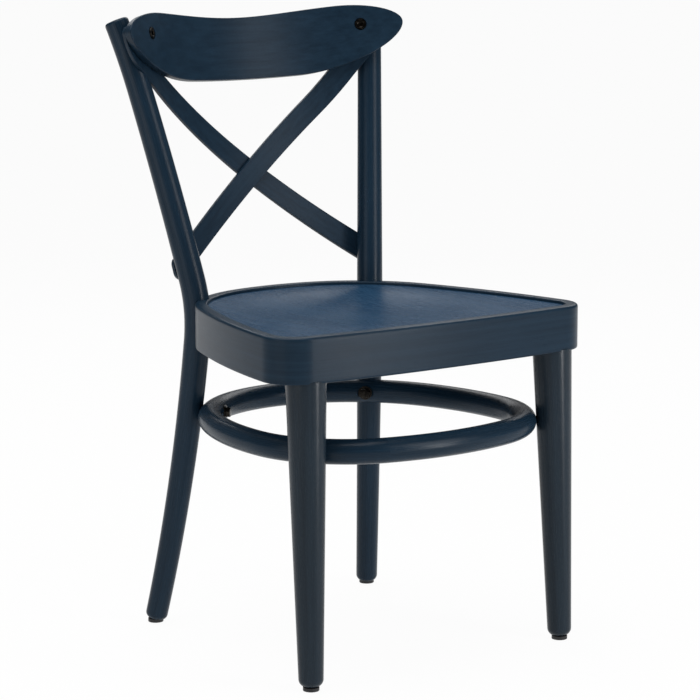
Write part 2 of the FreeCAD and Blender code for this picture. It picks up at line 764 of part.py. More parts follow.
def block_screw_frames():
    """Head seat inside the block and way into the frame: one screw to the front, one to the side."""
    to_front = Vec(inner_corner.x - block_screw_spread, inner_corner.y, block_screw_level)
    to_side = Vec(inner_corner.x, inner_corner.y + block_screw_spread, block_screw_level)
    return [(to_front, Vec(0, -1, 0)), (to_side, Vec(1, 0, 0))]


def block_screw(frame):
    seat, way = frame
    head = cylinder(seat, way * -1, block_screw_head_height, block_screw_head_radius)
    return head.fuse(cylinder(seat, way, block_screw_length, block_screw_radius)).removeSplitter()


def block_screw_hole(frame):
    seat, way = frame
    counterbore = cylinder(seat, way * -1, block_reach, block_screw_head_radius + hole_play)
    length = block_screw_length + hole_play
    return counterbore.fuse(cylinder(seat, way, length, block_screw_radius + hole_play))


# Glides under the feet
def glide(point):
    centre = Vec(point.x, point.y, 0)
    disc = cylinder(centre, UP, glide_height, glide_radius)
    disc = disc.makeFillet(glide_round, [e for e in disc.Edges if e.BoundBox.ZMax < 1e-4])
    recess = cylinder(centre, UP, nail_seat, nail_head_radius + hole_play)
    return disc.cut(recess).cut(cylinder(centre, UP, glide_height, nail_radius + hole_play))


def nail(point):
    centre = Vec(point.x, point.y, nail_recess)
    head = cylinder(centre, UP, nail_head_height, nail_head_radius)
    return head.fuse(cylinder(centre, UP, nail_top - nail_recess, nail_radius)).removeSplitter()


def seat_frame():
    frame = seat_prism(0, rim_bottom, seat_height)
    frame = frame.cut(seat_prism(frame_thickness, rim_bottom, seat_height))
    frame = frame.cut(seat_prism(rim_width, rebate_floor, seat_height))
    frame = frame.makeFillet(rim_round, edges_at(frame, seat_height, 0))
    frame = frame.makeFillet(rim_under_round, edges_at(frame, seat_height, rim_width))
    return frame.makeFillet(rim_under_round, edges_at(frame, rim_bottom, 0))


def seat_panel():
    """A thin panel pressed to a round dish, cut to the rebate."""
    top = seat_height - panel_recess
    edge_lean = 2 * math.atan(dish_depth / dish_radius)
    bowl_radius = dish_radius / math.sin(edge_lean) - dish_shoulder_radius
    bowl_centre = Vec(0, 0, bowl_radius - dish_depth)
    shoulder_centre = Vec(dish_radius, 0, -dish_shoulder_radius)
    half_way = Vec(math.sin(edge_lean / 2), 0, -math.cos(edge_lean / 2))
    full_way = Vec(math.sin(edge_lean), 0, -math.cos(edge_lean))
    bend = [Vec(0, 0, -dish_depth), bowl_centre + half_way * bowl_radius,
            bowl_centre + full_way * bowl_radius, shoulder_centre - half_way * dish_shoulder_radius,
            Vec(dish_radius, 0, 0), Vec(seat_depth, 0, 0)]
    down = Vec(0, 0, -panel_thickness)
    low = [point + down for point in bend]
    edges = []
    for line in (bend, low):
        edges += [Part.Arc(*line[0:3]).toShape(), Part.Arc(*line[2:5]).toShape()]
        edges.append(Part.makeLine(line[4], line[5]))
    edges += [Part.makeLine(bend[0], low[0]), Part.makeLine(bend[5], low[5])]
    sheet = Part.Face(Part.Wire(Part.__sortEdges__(edges))).revolve(Vec(0, 0, 0), UP, 360)
    sheet.translate(Vec(0, seat_front_y + seat_depth / 2, top))
    return sheet.common(seat_prism(rim_width + fit_gap, rim_bottom, seat_height))


def both(shape):
    return [shape, mirrored_shape(shape)]


def cut_all(shape, tools):
    for tool in tools:
        shape = shape.cut(tool)
    return shape


# Assembly: every piece with the holes and housings it needs
seat_holes = [seat_bolt_hole(level) for level in seat_bolt_levels]
block_holes = [block_screw_hole(frame) for frame in block_screw_frames()]
front_lath_space = front_lath(fit_gap)
rear_lath_space = rear_lath(fit_gap)
crest_holes = both(crest_bolt_hole())
post_cuts = [ring_bolt_hole()] + seat_holes + [insert_hole(level) for level in seat_bolt_levels]
post = cut_all(rear_post(), post_cuts)
right_post_cuts = [front_lath_space, rear_lath_space, crest_holes[0], lath_screw_hole(lath_step)]
left_screw_hole = mirrored_shape(lath_screw_hole(-lath_step))
left_post_cuts = [front_lath_space, rear_lath_space, crest_holes[1], left_screw_hole]
leg = front_leg().cut(ring_screw_hole())
ring_cuts = both(leg_cone(fit_gap)) + both(post_rod(fit_gap))
ring_cuts += both(ring_bolt_hole()) + both(ring_screw_hole())
frame_cuts = both(tenon_hole()) + both(post_notch())
for hole in seat_holes + block_holes:
    frame_cuts += both(hole)
block = cut_all(corner_block(), [tenon_hole()] + block_holes)
front_lath_solid = front_lath(0).cut(crest_holes[0]).cut(left_screw_hole)
rear_lath_solid = cut_all(rear_lath(0), [crest_holes[1], lath_screw_hole(lath_step)])
glide_points = {"front": leg_point(glide_height), "rear": post_point(glide_height)}
seat_bolts = [seat_bolt(level) for level in seat_bolt_levels]
seat_washers = [seat_washer(level) for level in seat_bolt_levels]
seat_inserts = [seat_insert(level) for level in seat_bolt_levels]
block_screws = [block_screw(frame) for frame in block_screw_frames()]
nails = [nail(point) for point in glide_points.values()]


def group(shapes):
    """Identical fasteners on both sides of the chair, as separate solids."""
    return Part.makeCompound(shapes + [mirrored_shape(shape) for shape in shapes])


nodes = {
    "rear_post_right": cut_all(post, right_post_cuts),
    "rear_post_left": cut_all(mirrored_shape(post), left_post_cuts),
    "front_leg_right": leg,
    "front_leg_left": mirrored_shape(leg),
    "seat_frame": cut_all(seat_frame(), frame_cuts),
    "seat_panel": seat_panel(),
    "corner_block_right": block,
    "corner_block_left": mirrored_shape(block),
    "stretcher_ring": cut_all(stretcher_rod(), ring_cuts),
    "crest_rail": cut_all(in_back(crest_blank()), [front_lath_space, rear_lath_space] + crest_holes),
    "cross_lath_front": front_lath_solid,
    "cross_lath_rear": rear_lath_solid,
    "crest_bolts": group([crest_bolt()]),
    "lath_screws": Part.makeCompound([lath_screw(lath_step), mirrored_shape(lath_screw(-lath_step))]),
    "ring_bolts": group([ring_bolt()]),
    "ring_washers": group([ring_washer()]),
    "ring_screws": group([ring_screw(0)]),
    "seat_bolts": group(seat_bolts),
    "seat_washers": group(seat_washers),
    "seat_bolt_inserts": group(seat_inserts),
    "corner_block_screws": group(block_screws),
    "glide_nails": group(nails),
}
for end, point in glide_points.items():
    nodes["glide_" + end + "_right"] = glide(point)
    nodes["glide_" + end + "_left"] = mirrored_shape(glide(point))

os.makedirs("parts", exist_ok=True)
for name, shape in nodes.items():
    shape.exportStep("parts/" + name + ".step")
    box = shape.BoundBox
    print(name, len(shape.Solids), shape.isValid(), round(shape.Volume / 1000, 2),
          [round(v, 1) for v in (box.XMin, box.XMax, box.YMin, box.YMax, box.ZMin, box.ZMax)])
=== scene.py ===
# %% [markdown]
# # Dressing a bentwood chair
# The chair is known to the last millimetre as solids, which arrive here as a frame that never moves.
# Those solids could be shown as they are, but round rods then look faceted and the wood has no grain.
# So each piece that the eye rests on is made again along the same lines, with a finer surface and a
# direction for its grain, and only hidden pieces keep their solid and get a finish.

# %% Frame
import math
from collections import namedtuple

import bmesh
import bpy
from mathutils import Matrix, Vector


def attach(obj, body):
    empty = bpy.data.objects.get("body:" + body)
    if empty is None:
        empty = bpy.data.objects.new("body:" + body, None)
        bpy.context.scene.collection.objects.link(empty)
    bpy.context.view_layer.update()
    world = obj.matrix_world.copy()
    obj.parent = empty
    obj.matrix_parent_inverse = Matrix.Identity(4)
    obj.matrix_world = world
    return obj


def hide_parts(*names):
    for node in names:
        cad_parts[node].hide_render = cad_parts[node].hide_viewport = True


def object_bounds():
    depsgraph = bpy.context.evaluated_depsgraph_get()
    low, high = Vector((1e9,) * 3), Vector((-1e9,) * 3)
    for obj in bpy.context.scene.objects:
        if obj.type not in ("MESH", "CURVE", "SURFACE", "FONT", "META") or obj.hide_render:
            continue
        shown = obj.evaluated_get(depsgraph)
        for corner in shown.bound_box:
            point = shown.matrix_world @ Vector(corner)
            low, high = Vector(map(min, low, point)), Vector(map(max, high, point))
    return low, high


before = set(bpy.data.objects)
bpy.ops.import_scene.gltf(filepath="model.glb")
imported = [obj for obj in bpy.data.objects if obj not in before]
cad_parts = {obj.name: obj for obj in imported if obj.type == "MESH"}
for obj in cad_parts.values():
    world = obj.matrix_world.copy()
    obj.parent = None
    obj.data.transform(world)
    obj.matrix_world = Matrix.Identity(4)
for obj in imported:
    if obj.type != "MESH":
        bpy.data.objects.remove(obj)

cad_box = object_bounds()
rounded_box = [tuple(round(v, 4) for v in corner) for corner in cad_box]
print("solids loaded:", len(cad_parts), "box", rounded_box)

# %% [markdown]
# ## Writing nodes as sentences
# Node trees can be drawn by hand or written out link by link, and both hide the idea behind the wiring.
# Here a socket is wrapped in a small class, so that a sum of two sockets is written with a plus sign.
# Everything that isn't arithmetic comes from one method, which takes a node's type, its settings and
# what goes into its sockets. The same class serves the finishes and the shapes.

# %% Sockets that can be added and multiplied
class Wire:
    """One output socket, with arithmetic."""

    def __init__(self, tree, socket):
        self.tree = tree
        self.socket = socket

    def out(self, name):
        return Wire(self.tree, next(s for s in self.socket.node.outputs if s.name == name and s.enabled))

    def join(self, operation, first, second):
        vector = any(isinstance(v, tuple) or isinstance(v, Wire) and v.socket.type == "VECTOR"
                     for v in (first, second))
        kind = "ShaderNodeVectorMath" if vector else "ShaderNodeMath"
        return self.tree.node(kind, {"operation": operation}, {0: first, 1: second})

    def __add__(self, other):
        return self.join("ADD", self, other)

    def __radd__(self, other):
        return self.join("ADD", other, self)

    def __sub__(self, other):
        return self.join("SUBTRACT", self, other)

    def __rsub__(self, other):
        return self.join("SUBTRACT", other, self)

    def __mul__(self, other):
        return self.join("MULTIPLY", self, other)

    def __rmul__(self, other):
        return self.join("MULTIPLY", other, self)

    def __pow__(self, other):
        return self.join("POWER", self, other)

    def __gt__(self, other):
        return self.join("GREATER_THAN", self, other)

    def __lt__(self, other):
        return self.join("LESS_THAN", self, other)


print("sockets can be added and multiplied")


# %% Trees that are written
class Tree:
    """A node tree that is written rather than drawn."""

    def __init__(self, tree):
        self.tree = tree

    def node(self, kind, settings=None, sockets=None):
        made = self.tree.nodes.new(kind)
        for name, value in (settings or {}).items():
            setattr(made, name, value)
        for key, value in (sockets or {}).items():
            named = [s for s in made.inputs if s.name == key and s.enabled]
            socket = made.inputs[key] if isinstance(key, int) else named[0]
            if isinstance(value, Wire):
                self.tree.links.new(value.socket, socket)
            elif socket.type == "VECTOR" and not isinstance(value, (tuple, Vector)):
                socket.default_value = (value, value, value)
            else:
                socket.default_value = value
        output = next((s for s in made.outputs if s.enabled), None)
        return Wire(self, output)


print("trees can be written")

# %% [markdown]
# ## Stained beech
# The real chair is beech, stained a deep navy and sealed with a satin lacquer. The grain shows only as
# faint streaks and short pores, because the stain covers most of it. A painted texture would need a
# picture, so the streaks come from noise that is drawn out along the wood. Each piece carries an attribute
# called grain, whose first number runs along the fibres, so that the streaks follow every bend.

# %% What all finishes share
def new_finish(name):
    """A material, and the tree that it is written in."""
    material = bpy.data.materials.new(name)
    material.use_nodes = True
    return material, Tree(material.node_tree)


def laid_on(material, colour, rough, relief):
    """Links what varies over a surface to its shader, and gives the shader back."""
    surface = material.node_tree.nodes["Principled BSDF"]
    for socket, value in (("Base Color", colour), ("Roughness", rough), ("Normal", relief)):
        material.node_tree.links.new(value.socket, surface.inputs[socket])
    print("finish", material.name)
    return surface


print("finishes can be written")


# %% Wood finish
def stained_wood(name, deep, pale, gloss, streak_size, lacquer=0.12, source="grain"):
    """A stained and lacquered wood whose streaks run along the grain attribute, or along X of the object."""
    material, tree = new_finish(name)
    if source == "grain":
        place = tree.node("ShaderNodeAttribute", {"attribute_name": "grain"}).out("Vector")
    else:
        place = tree.node("ShaderNodeTexCoord").out("Object")

    def noise(stretch, detail):
        return tree.node("ShaderNodeTexNoise", {}, {"Vector": place * stretch, "Scale": 1.0,
                                                    "Detail": detail, "Roughness": 0.55})

    # Waves per metre along the fibres and across them, and the finer waves that ride on these.
    across = 1.0 / streak_size
    streak = noise((3.5, across, across), 5.0)
    fibre = noise((30.0, 1300.0, 1300.0), 3.0)
    pore = noise((170.0, 2300.0, 2300.0), 1.0)
    cloud = noise((5.0, 11.0, 11.0), 2.0)
    pore_mask = tree.node("ShaderNodeMapRange", {"interpolation_type": "SMOOTHSTEP"},
                          {"Value": pore, "From Min": 0.62, "From Max": 0.74})
    tone = (streak - 0.5) * 1.9 + (fibre - 0.5) * 0.7 + (cloud - 0.5) * 0.9 + 0.5
    tone = tree.node("ShaderNodeClamp", {}, {"Value": tone})
    colour = tree.node("ShaderNodeMix", {"data_type": "RGBA"},
                       {"Factor": tone, "A": (*deep, 1.0), "B": (*pale, 1.0)}).out("Result")
    dark = tuple(0.55 * channel for channel in deep)
    colour = tree.node("ShaderNodeMix", {"data_type": "RGBA"},
                       {"Factor": pore_mask * 0.6, "A": colour, "B": (*dark, 1.0)}).out("Result")
    rough = gloss + (fibre - 0.5) * 0.16 + (cloud - 0.5) * 0.1 + pore_mask * 0.12
    height = fibre * 0.6 + streak * 0.3 - pore_mask * 0.5
    relief = tree.node("ShaderNodeBump", {}, {"Strength": 0.22, "Distance": 0.0004, "Height": height})
    surface = laid_on(material, colour, rough, relief)
    surface.inputs["Specular IOR Level"].default_value = lacquer
    return material


print("wood can be stained")

# %% Woods of the chair
navy_deep, navy_pale = (0.0070, 0.0188, 0.0345), (0.0130, 0.0325, 0.0570)
turned_deep, turned_pale = (0.0090, 0.0170, 0.0265), (0.0170, 0.0300, 0.0445)
# The panel keeps the navy stain but is lighter and bluer than the frame: painted top light and sheen.
panel_sheen_deep, panel_sheen_pale = (0.0130, 0.0440, 0.0920), (0.0230, 0.0650, 0.1260)
rod_wood = stained_wood("rod_wood", navy_deep, navy_pale, 0.27, 0.0075, lacquer=0.15)
leg_wood = stained_wood("leg_wood", turned_deep, turned_pale, 0.25, 0.0085, lacquer=0.19)
rim_wood = stained_wood("rim_wood", navy_deep, navy_pale, 0.31, 0.0060)
crest_wood = stained_wood("crest_wood", navy_deep, navy_pale, 0.33, 0.0070)
lath_wood = stained_wood("lath_wood", navy_deep, navy_pale, 0.38, 0.0055)
panel_wood = stained_wood("panel_wood", panel_sheen_deep, panel_sheen_pale, 0.27, 0.0110, lacquer=0.045)
block_wood = stained_wood("block_wood", navy_deep, navy_pale, 0.55, 0.0080, source="object")

# %% [markdown]
# ## Blackened and plain steel, and the glides
# The bolts that show are dark, a little bronze where the blackening is thin. The hidden ones are plain
# steel. A flat grey would look like plastic, so fine scratches vary the roughness and the tone.
# The glides are hard black plastic with a faint moulded texture.

# %% Metal finish
def worked_metal(name, dull, bright, roughness, scratch):
    material, tree = new_finish(name)
    place = tree.node("ShaderNodeTexCoord").out("Object")
    patch = tree.node("ShaderNodeTexNoise", {}, {"Vector": place, "Scale": 260.0, "Detail": 4.0})
    line = tree.node("ShaderNodeTexNoise", {}, {"Vector": place * (900.0, 900.0, 5200.0), "Scale": 1.0,
                                                "Detail": 2.0})
    tone = tree.node("ShaderNodeClamp", {}, {"Value": (patch - 0.42) * 2.4})
    colour = tree.node("ShaderNodeMix", {"data_type": "RGBA"},
                       {"Factor": tone, "A": (*dull, 1.0), "B": (*bright, 1.0)}).out("Result")
    rough = roughness + (line - 0.5) * scratch + (patch - 0.5) * 0.2
    relief = tree.node("ShaderNodeBump", {}, {"Strength": 0.15, "Distance": 0.0002, "Height": line})
    surface = laid_on(material, colour, rough, relief)
    surface.inputs["Metallic"].default_value = 1.0
    return material


black_bolt = worked_metal("black_bolt", (0.010, 0.009, 0.008), (0.042, 0.037, 0.031), 0.33, 0.25)
plain_steel = worked_metal("plain_steel", (0.42, 0.42, 0.42), (0.60, 0.60, 0.59), 0.34, 0.3)


# %% Plastic finish
def moulded_plastic(name, colour):
    material, tree = new_finish(name)
    place = tree.node("ShaderNodeTexCoord").out("Object")
    pebble = tree.node("ShaderNodeTexNoise", {}, {"Vector": place, "Scale": 1500.0, "Detail": 2.0})
    scuff = tree.node("ShaderNodeTexNoise", {}, {"Vector": place, "Scale": 90.0, "Detail": 3.0})
    worn = tuple(2.4 * channel for channel in colour)
    shade = tree.node("ShaderNodeMix", {"data_type": "RGBA"},
                      {"Factor": scuff, "A": (*colour, 1.0), "B": (*worn, 1.0)}).out("Result")
    rough = 0.42 + scuff * 0.25
    relief = tree.node("ShaderNodeBump", {}, {"Strength": 0.2, "Distance": 0.0002, "Height": pebble})
    laid_on(material, shade, rough, relief)
    return material


glide_plastic = moulded_plastic("glide_plastic", (0.006, 0.006, 0.007))

# %% [markdown]
# ## From a tree of nodes to a plain mesh
# A modifier could stay on each piece, but the chair is used elsewhere, where only plain meshes arrive.
# So a tree is put on a curve or a handful of points, its inputs are set by their identifiers, and what it
# gives is kept as a mesh of its own, at the origin, while the curve it grew from is thrown away.

# %% Geometry trees
class Shape(Tree):
    """A geometry tree with named inputs."""

    crease = 0.6    # radians, a sharper turn of the surface is shown as an edge

    def __init__(self, name):
        super().__init__(bpy.data.node_groups.new(name, "GeometryNodeTree"))
        self.tree.interface.new_socket(name="Geometry", in_out="OUTPUT", socket_type="NodeSocketGeometry")
        self.tree.interface.new_socket(name="Geometry", in_out="INPUT", socket_type="NodeSocketGeometry")
        self.start = self.node("NodeGroupInput")
        self.identifiers = {}

    def ask(self, name, kind):
        socket = self.tree.interface.new_socket(name=name, in_out="INPUT", socket_type="NodeSocket" + kind)
        self.identifiers[name] = socket.identifier
        return self.start.out(name)

    def keep(self, geometry, name, value, domain="POINT", data="FLOAT_VECTOR"):
        return self.node("GeometryNodeStoreNamedAttribute", {"data_type": data, "domain": domain},
                         {"Geometry": geometry, "Name": name, "Value": value})

    def recall(self, name, data="FLOAT_VECTOR"):
        return self.node("GeometryNodeInputNamedAttribute", {"data_type": data}, {"Name": name})

    def part(self, vector, letter):
        return self.node("ShaderNodeSeparateXYZ", {}, {0: vector}).out(letter)

    def vector(self, x, y, z):
        return self.node("ShaderNodeCombineXYZ", {}, {"X": x, "Y": y, "Z": z})

    def measured(self, curve):
        """Notes on a curve how far along each point is, and how long the whole is."""
        length = self.node("GeometryNodeSplineParameter").out("Length")
        curve = self.keep(curve, "along", length, data="FLOAT")
        whole = self.node("GeometryNodeSplineLength").out("Length")
        return self.keep(curve, "whole", whole, data="FLOAT")

    def grained(self, mesh, section, spent):
        """Lays the grain along a swept mesh, through the seam of a loop too, and drops the notes."""
        along = self.recall("along", "FLOAT")
        whole = self.recall("whole", "FLOAT")
        face_along = self.node("GeometryNodeFieldOnDomain", {"domain": "FACE"}, {"Value": along})
        first_quarter = whole * 0.25
        last_stretch = (along < first_quarter) * (face_along > first_quarter)
        grain = self.vector(along + last_stretch * whole, self.part(section, "X"), self.part(section, "Y"))
        mesh = self.keep(mesh, "grain", grain, domain="CORNER")
        for name in ("along", "whole", *spent):
            mesh = self.node("GeometryNodeRemoveAttribute", {}, {"Geometry": mesh, "Name": name})
        return mesh

    def finish(self, geometry, material):
        """Smooth faces, sharp edges where the surface turns quickly, and the finish."""
        real = self.node("GeometryNodeRealizeInstances", {}, {"Geometry": geometry})
        real = self.node("GeometryNodeSetShadeSmooth", {"domain": "FACE"},
                         {"Geometry": real, "Shade Smooth": True})
        angle = self.node("GeometryNodeInputMeshEdgeAngle").out("Unsigned Angle")
        real = self.node("GeometryNodeSetShadeSmooth", {"domain": "EDGE"},
                         {"Geometry": real, "Shade Smooth": angle < self.crease})
        coated = self.node("GeometryNodeSetMaterial", {}, {"Geometry": real, "Material": material})
        self.node("NodeGroupOutput", {}, {"Geometry": coated})


print("geometry trees can be written")


# %% From tree to mesh
def grown(name, shape, data, inputs):
    """Puts a tree on a curve or mesh and keeps the result as a plain mesh object."""
    seed = bpy.data.objects.new(name + "_seed", data)
    bpy.context.collection.objects.link(seed)
    modifier = seed.modifiers.new("shape", "NODES")
    modifier.node_group = shape.tree
    for key, value in inputs.items():
        modifier[shape.identifiers[key]] = value
    bpy.context.view_layer.update()
    graph = bpy.context.evaluated_depsgraph_get()
    mesh = bpy.data.meshes.new_from_object(seed.evaluated_get(graph), depsgraph=graph)
    bpy.data.objects.remove(seed)
    mesh.name = name
    piece = bpy.data.objects.new(name, mesh)
    bpy.context.collection.objects.link(piece)
    return piece


print("a tree can become a mesh")


# %% Curves, places and mirror images
def poly_curve(name, points, radii=None, closed=False):
    """A curve of straight runs through the points, with a radius at each."""
    data = bpy.data.curves.new(name, "CURVE")
    data.dimensions = "3D"
    spline = data.splines.new("POLY")
    spline.points.add(len(points) - 1)
    for i, point in enumerate(points):
        spline.points[i].co = (*point, 1.0)
        spline.points[i].radius = radii[i] if radii else 1.0
    spline.use_cyclic_u = closed
    return data


def placed(piece, slot, *nodes):
    """The piece rides on the one body and stands for these solids, which are hidden. The slot is not used."""
    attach(piece, "root")
    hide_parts(*nodes)
    print(piece.name, "faces", len(piece.data.polygons), "for", nodes)


def mirrored(point):
    return Vector((-point.x, point.y, point.z))


print("helpers ready")

# %% [markdown]
# ## Rods
# The posts, the legs and the ring are rods: a round section that follows a line. A stack of rings could be
# built by hand, but sweeping a circle along a curve says the same in one node, and the curve's own radius
# gives the taper and the rounded feet. The tree also lays the grain straight along the rod, as if the rod
# were unbent: length first, then the two directions of the round section.

# %% Rod tree
rod = Shape("bent rod")
rod_sides = rod.ask("Sides", "Int")
rod_material = rod.ask("Material", "Material")
thickness = rod.node("GeometryNodeInputRadius")
line = rod.keep(rod.measured(rod.start), "thick", thickness, data="FLOAT")
circle = rod.node("GeometryNodeCurvePrimitiveCircle", {}, {"Resolution": rod_sides, "Radius": 1.0})
circle = rod.keep(circle, "ring", rod.node("GeometryNodeInputPosition"))
tube = rod.node("GeometryNodeCurveToMesh", {}, {"Curve": line, "Profile Curve": circle, "Scale": thickness,
                                                "Fill Caps": True})
section = rod.recall("ring") * rod.recall("thick", "FLOAT")
rod.finish(rod.grained(tube, section, ("thick", "ring")), rod_material)
rod_facets = 64


def rod_piece(name, points, radii, material, closed=False):
    middle_line = poly_curve(name, points, radii, closed)
    return grown(name, rod, middle_line, {"Sides": rod_facets, "Material": material})


print("rod tree nodes", len(rod.tree.nodes))

# %% [markdown]
# ## Front legs
# The legs taper from 53 mm under the seat to 32 mm at the floor and end in a soft round over the glide.
# A lathe would turn them, so here the radius along a straight line is all that is needed.

# %% Ends of rods
glide_height = 0.005
round_steps = 8


def end_marks(length, low_round, high_round, steps):
    """Distances along a rod: close together in the rounded ends, even between them."""
    quarter = [i / round_steps * math.pi / 2 for i in range(round_steps + 1)]
    low = [low_round * (1 - math.cos(turn)) for turn in quarter]
    high = [length - high_round * (1 - math.cos(turn)) for turn in reversed(quarter)]
    between = [low[-1] + (high[0] - low[-1]) * i / steps for i in range(1, steps)]
    return low + between + high


def rounded(radius, mark, length, low_round, high_round):
    """The radius of a rod where its ends are rounded over."""
    for depth, size in ((mark, low_round), (length - mark, high_round)):
        if depth < size:
            radius += math.sqrt(max(size ** 2 - (size - depth) ** 2, 0.0)) - size
    return radius


print("marks on a quarter round", round_steps + 1)


# %% Pairs of rods
def pair_of_rods(node, ending, point_at, radius_at, length, rounds, steps, material, slot):
    """A rod that stands on its glide on the right, and its mirror image on the left."""
    marks = end_marks(length, *rounds, steps)
    radii = [rounded(radius_at(glide_height + m), m, length, *rounds) for m in marks]
    line = [point_at(glide_height + m) for m in marks]
    for side, points in (("right", line), ("left", [mirrored(p) for p in line])):
        name = node + "_" + side
        placed(rod_piece(name + ending, points, radii, material), slot, name)


print("rods can come in pairs")

# %% Legs
seat_height, rim_bottom = 0.460, 0.400
seat_front, seat_depth = -0.2343, 0.4135
seat_back = seat_front + seat_depth
seat_front_width, seat_rear_width = 0.507, 0.396
leg_side_inset, leg_front_inset, leg_splay, leg_rake = 0.049, 0.033, 0.005, 0.017
leg_foot_radius, leg_top_radius = 0.0159, 0.0265
leg_foot_round, leg_top_round, leg_let_in = 0.010, 0.001, 0.002
leg_top = Vector((seat_front_width / 2 - leg_side_inset, seat_front + leg_front_inset, rim_bottom))
leg_foot = leg_top + Vector((leg_splay, -leg_rake, -rim_bottom))


def leg_point(height):
    return leg_foot.lerp(leg_top, height / rim_bottom)


def leg_radius(height):
    return leg_foot_radius + (leg_top_radius - leg_foot_radius) * height / rim_bottom


leg_length, leg_steps = rim_bottom + leg_let_in - glide_height, 24
pair_of_rods("front_leg", "_turned", leg_point, leg_radius, leg_length, (leg_foot_round, leg_top_round),
             leg_steps, leg_wood, "leg_wood")

# %% [markdown]
# ## Rear posts
# Each rear leg and back post is one rod, steamed and bent: nearly straight to the floor, a knee at the
# seat and a slow curve back and outwards at the top. The bends are arcs in an upright plane, so the line
# is worked out from their radii and leans rather than from points picked off a picture.

# %% Seat plan
def circle_meet(centre_a, radius_a, centre_b, radius_b, near):
    """The meeting point of two circles in plan that lies nearer to a given point."""
    between = centre_b - centre_a
    reach = (radius_a ** 2 - radius_b ** 2 + between.length_squared) / (2 * between.length)
    unit = between.normalized()
    across = Vector((-unit.y, unit.x, 0)) * math.sqrt(radius_a ** 2 - reach ** 2)
    ends = [centre_a + unit * reach + across, centre_a + unit * reach - across]
    return min(ends, key=lambda end: (end - near).length)


front_radius, corner_radius, side_radius, rear_radius, back_radius = 2.700, 0.046, 1.080, 0.178, 0.312
front_centre = Vector((0, seat_front + front_radius, 0))
back_centre = Vector((0, seat_back - back_radius, 0))
front_station, rear_station = 0.054, 0.134
side_front = Vector((seat_front_width / 2, seat_front + front_station, 0))
side_rear = Vector((seat_rear_width / 2, seat_back - rear_station, 0))
side_centre = circle_meet(side_front, side_radius, side_rear, side_radius, Vector((-side_radius, 0, 0)))
corner_centre = circle_meet(side_centre, side_radius - corner_radius,
                            front_centre, front_radius - corner_radius,
                            Vector((seat_front_width / 2, seat_front, 0)))
rear_centre = circle_meet(side_centre, side_radius - rear_radius,
                          back_centre, back_radius - rear_radius,
                          Vector((seat_rear_width / 2, seat_back, 0)))
print("centres of the corners", tuple(round(v, 4) for v in (*corner_centre.xy, *rear_centre.xy)))

# %% Bends of a post
post_bearing = math.radians(42.6)
post_stand_off, knee_drop = 0.002, 0.034
post_outward = Vector((math.sin(post_bearing), math.cos(post_bearing), 0))
knee = rear_centre + post_outward * (rear_radius + post_stand_off) + Vector((0, 0, seat_height - knee_drop))
Bend = namedtuple("Bend", "out rise lean radius end_out end_rise end_lean")


def bend(out, rise, lean, radius, end_lean):
    """One bent stretch: where it starts, its lean, its radius, and where and how it ends."""
    end_out = out + radius * (math.cos(lean) - math.cos(end_lean))
    end_rise = rise + radius * (math.sin(end_lean) - math.sin(lean))
    return Bend(out, rise, lean, radius, end_out, end_rise, end_lean)


def next_bend(last, radius, end_lean):
    """A stretch that goes on from the end of another."""
    return bend(last.end_out, last.end_rise, last.end_lean, radius, end_lean)


knee_radius, lower_bend_radius = 0.240, 3.070
upper_run, top_run = 0.265, 0.1005
lower_lean, knee_lean, upper_lean, top_lean = [math.radians(lean) for lean in (5.7, 14.5, 17.1, 22.5)]
upper = [bend(0, 0, 0, knee_radius, knee_lean)]
upper.append(next_bend(upper[-1], upper_run / (upper_lean - knee_lean), upper_lean))
upper.append(next_bend(upper[-1], top_run / (top_lean - upper_lean), top_lean))
lower = [bend(0, 0, 0, knee_radius, lower_lean)]
floor_lean = math.asin(math.sin(lower_lean) + (knee.z - lower[0].end_rise) / lower_bend_radius)
lower.append(next_bend(lower[0], lower_bend_radius, floor_lean))
post_top = knee.z + upper[-1].end_rise
print("knee", tuple(round(v, 4) for v in knee), "post top", round(post_top, 4))

# %% Post line
upper_plane, lower_plane = math.radians(36.5), math.radians(33.5)
post_foot_radius, post_knee_radius, post_top_radius = 0.0152, 0.0182, 0.0166


def post_point(height):
    """The middle of the post at a height: it leaves the knee in one of two upright planes."""
    runs, plane = (upper, upper_plane) if height >= knee.z else (lower, lower_plane)
    travel = abs(height - knee.z)
    run = next((r for r in runs if travel <= r.end_rise), runs[-1])
    lean = math.asin(math.sin(run.lean) + (travel - run.rise) / run.radius)
    out = run.out + run.radius * (math.cos(run.lean) - math.cos(lean))
    return Vector((knee.x, knee.y, height)) + Vector((math.sin(plane), math.cos(plane), 0)) * out


def post_radius(height):
    if height >= knee.z:
        share = (height - knee.z) / (post_top - knee.z)
        return post_knee_radius + (post_top_radius - post_knee_radius) * share
    return post_knee_radius + (post_foot_radius - post_knee_radius) * (knee.z - height) / knee.z


print("foot of the post", tuple(round(v, 4) for v in post_point(glide_height)))

# %% Posts
post_foot_round, post_top_round, post_steps = 0.008, 0.004, 96
pair_of_rods("rear_post", "_bent", post_point, post_radius, post_top - glide_height,
             (post_foot_round, post_top_round), post_steps, rod_wood, "rod_wood")

# %% [markdown]
# ## Stretcher ring
# One rod is bent into a closed ring that bears on the inside of all four legs. In plan it is a chain of
# arcs that run smoothly into each other: a shallow front, tighter corners, long sides and a round back.
# The same helper that steps along an arc serves the seat outline later.

# %% Outlines of arcs
outline_step = 0.004


def arc_points(centre, start, end):
    """Points along the short arc about a centre, the first included and the last left out."""
    first, last = start - centre, end - centre
    turn = math.atan2(first.x * last.y - first.y * last.x, first.x * last.x + first.y * last.y)
    count = max(2, math.ceil(abs(turn) * first.length / outline_step))
    return [centre + Matrix.Rotation(turn * i / count, 3, "Z") @ first for i in range(count)]


def beyond(centre, towards, distance):
    return centre + (towards - centre).normalized() * distance


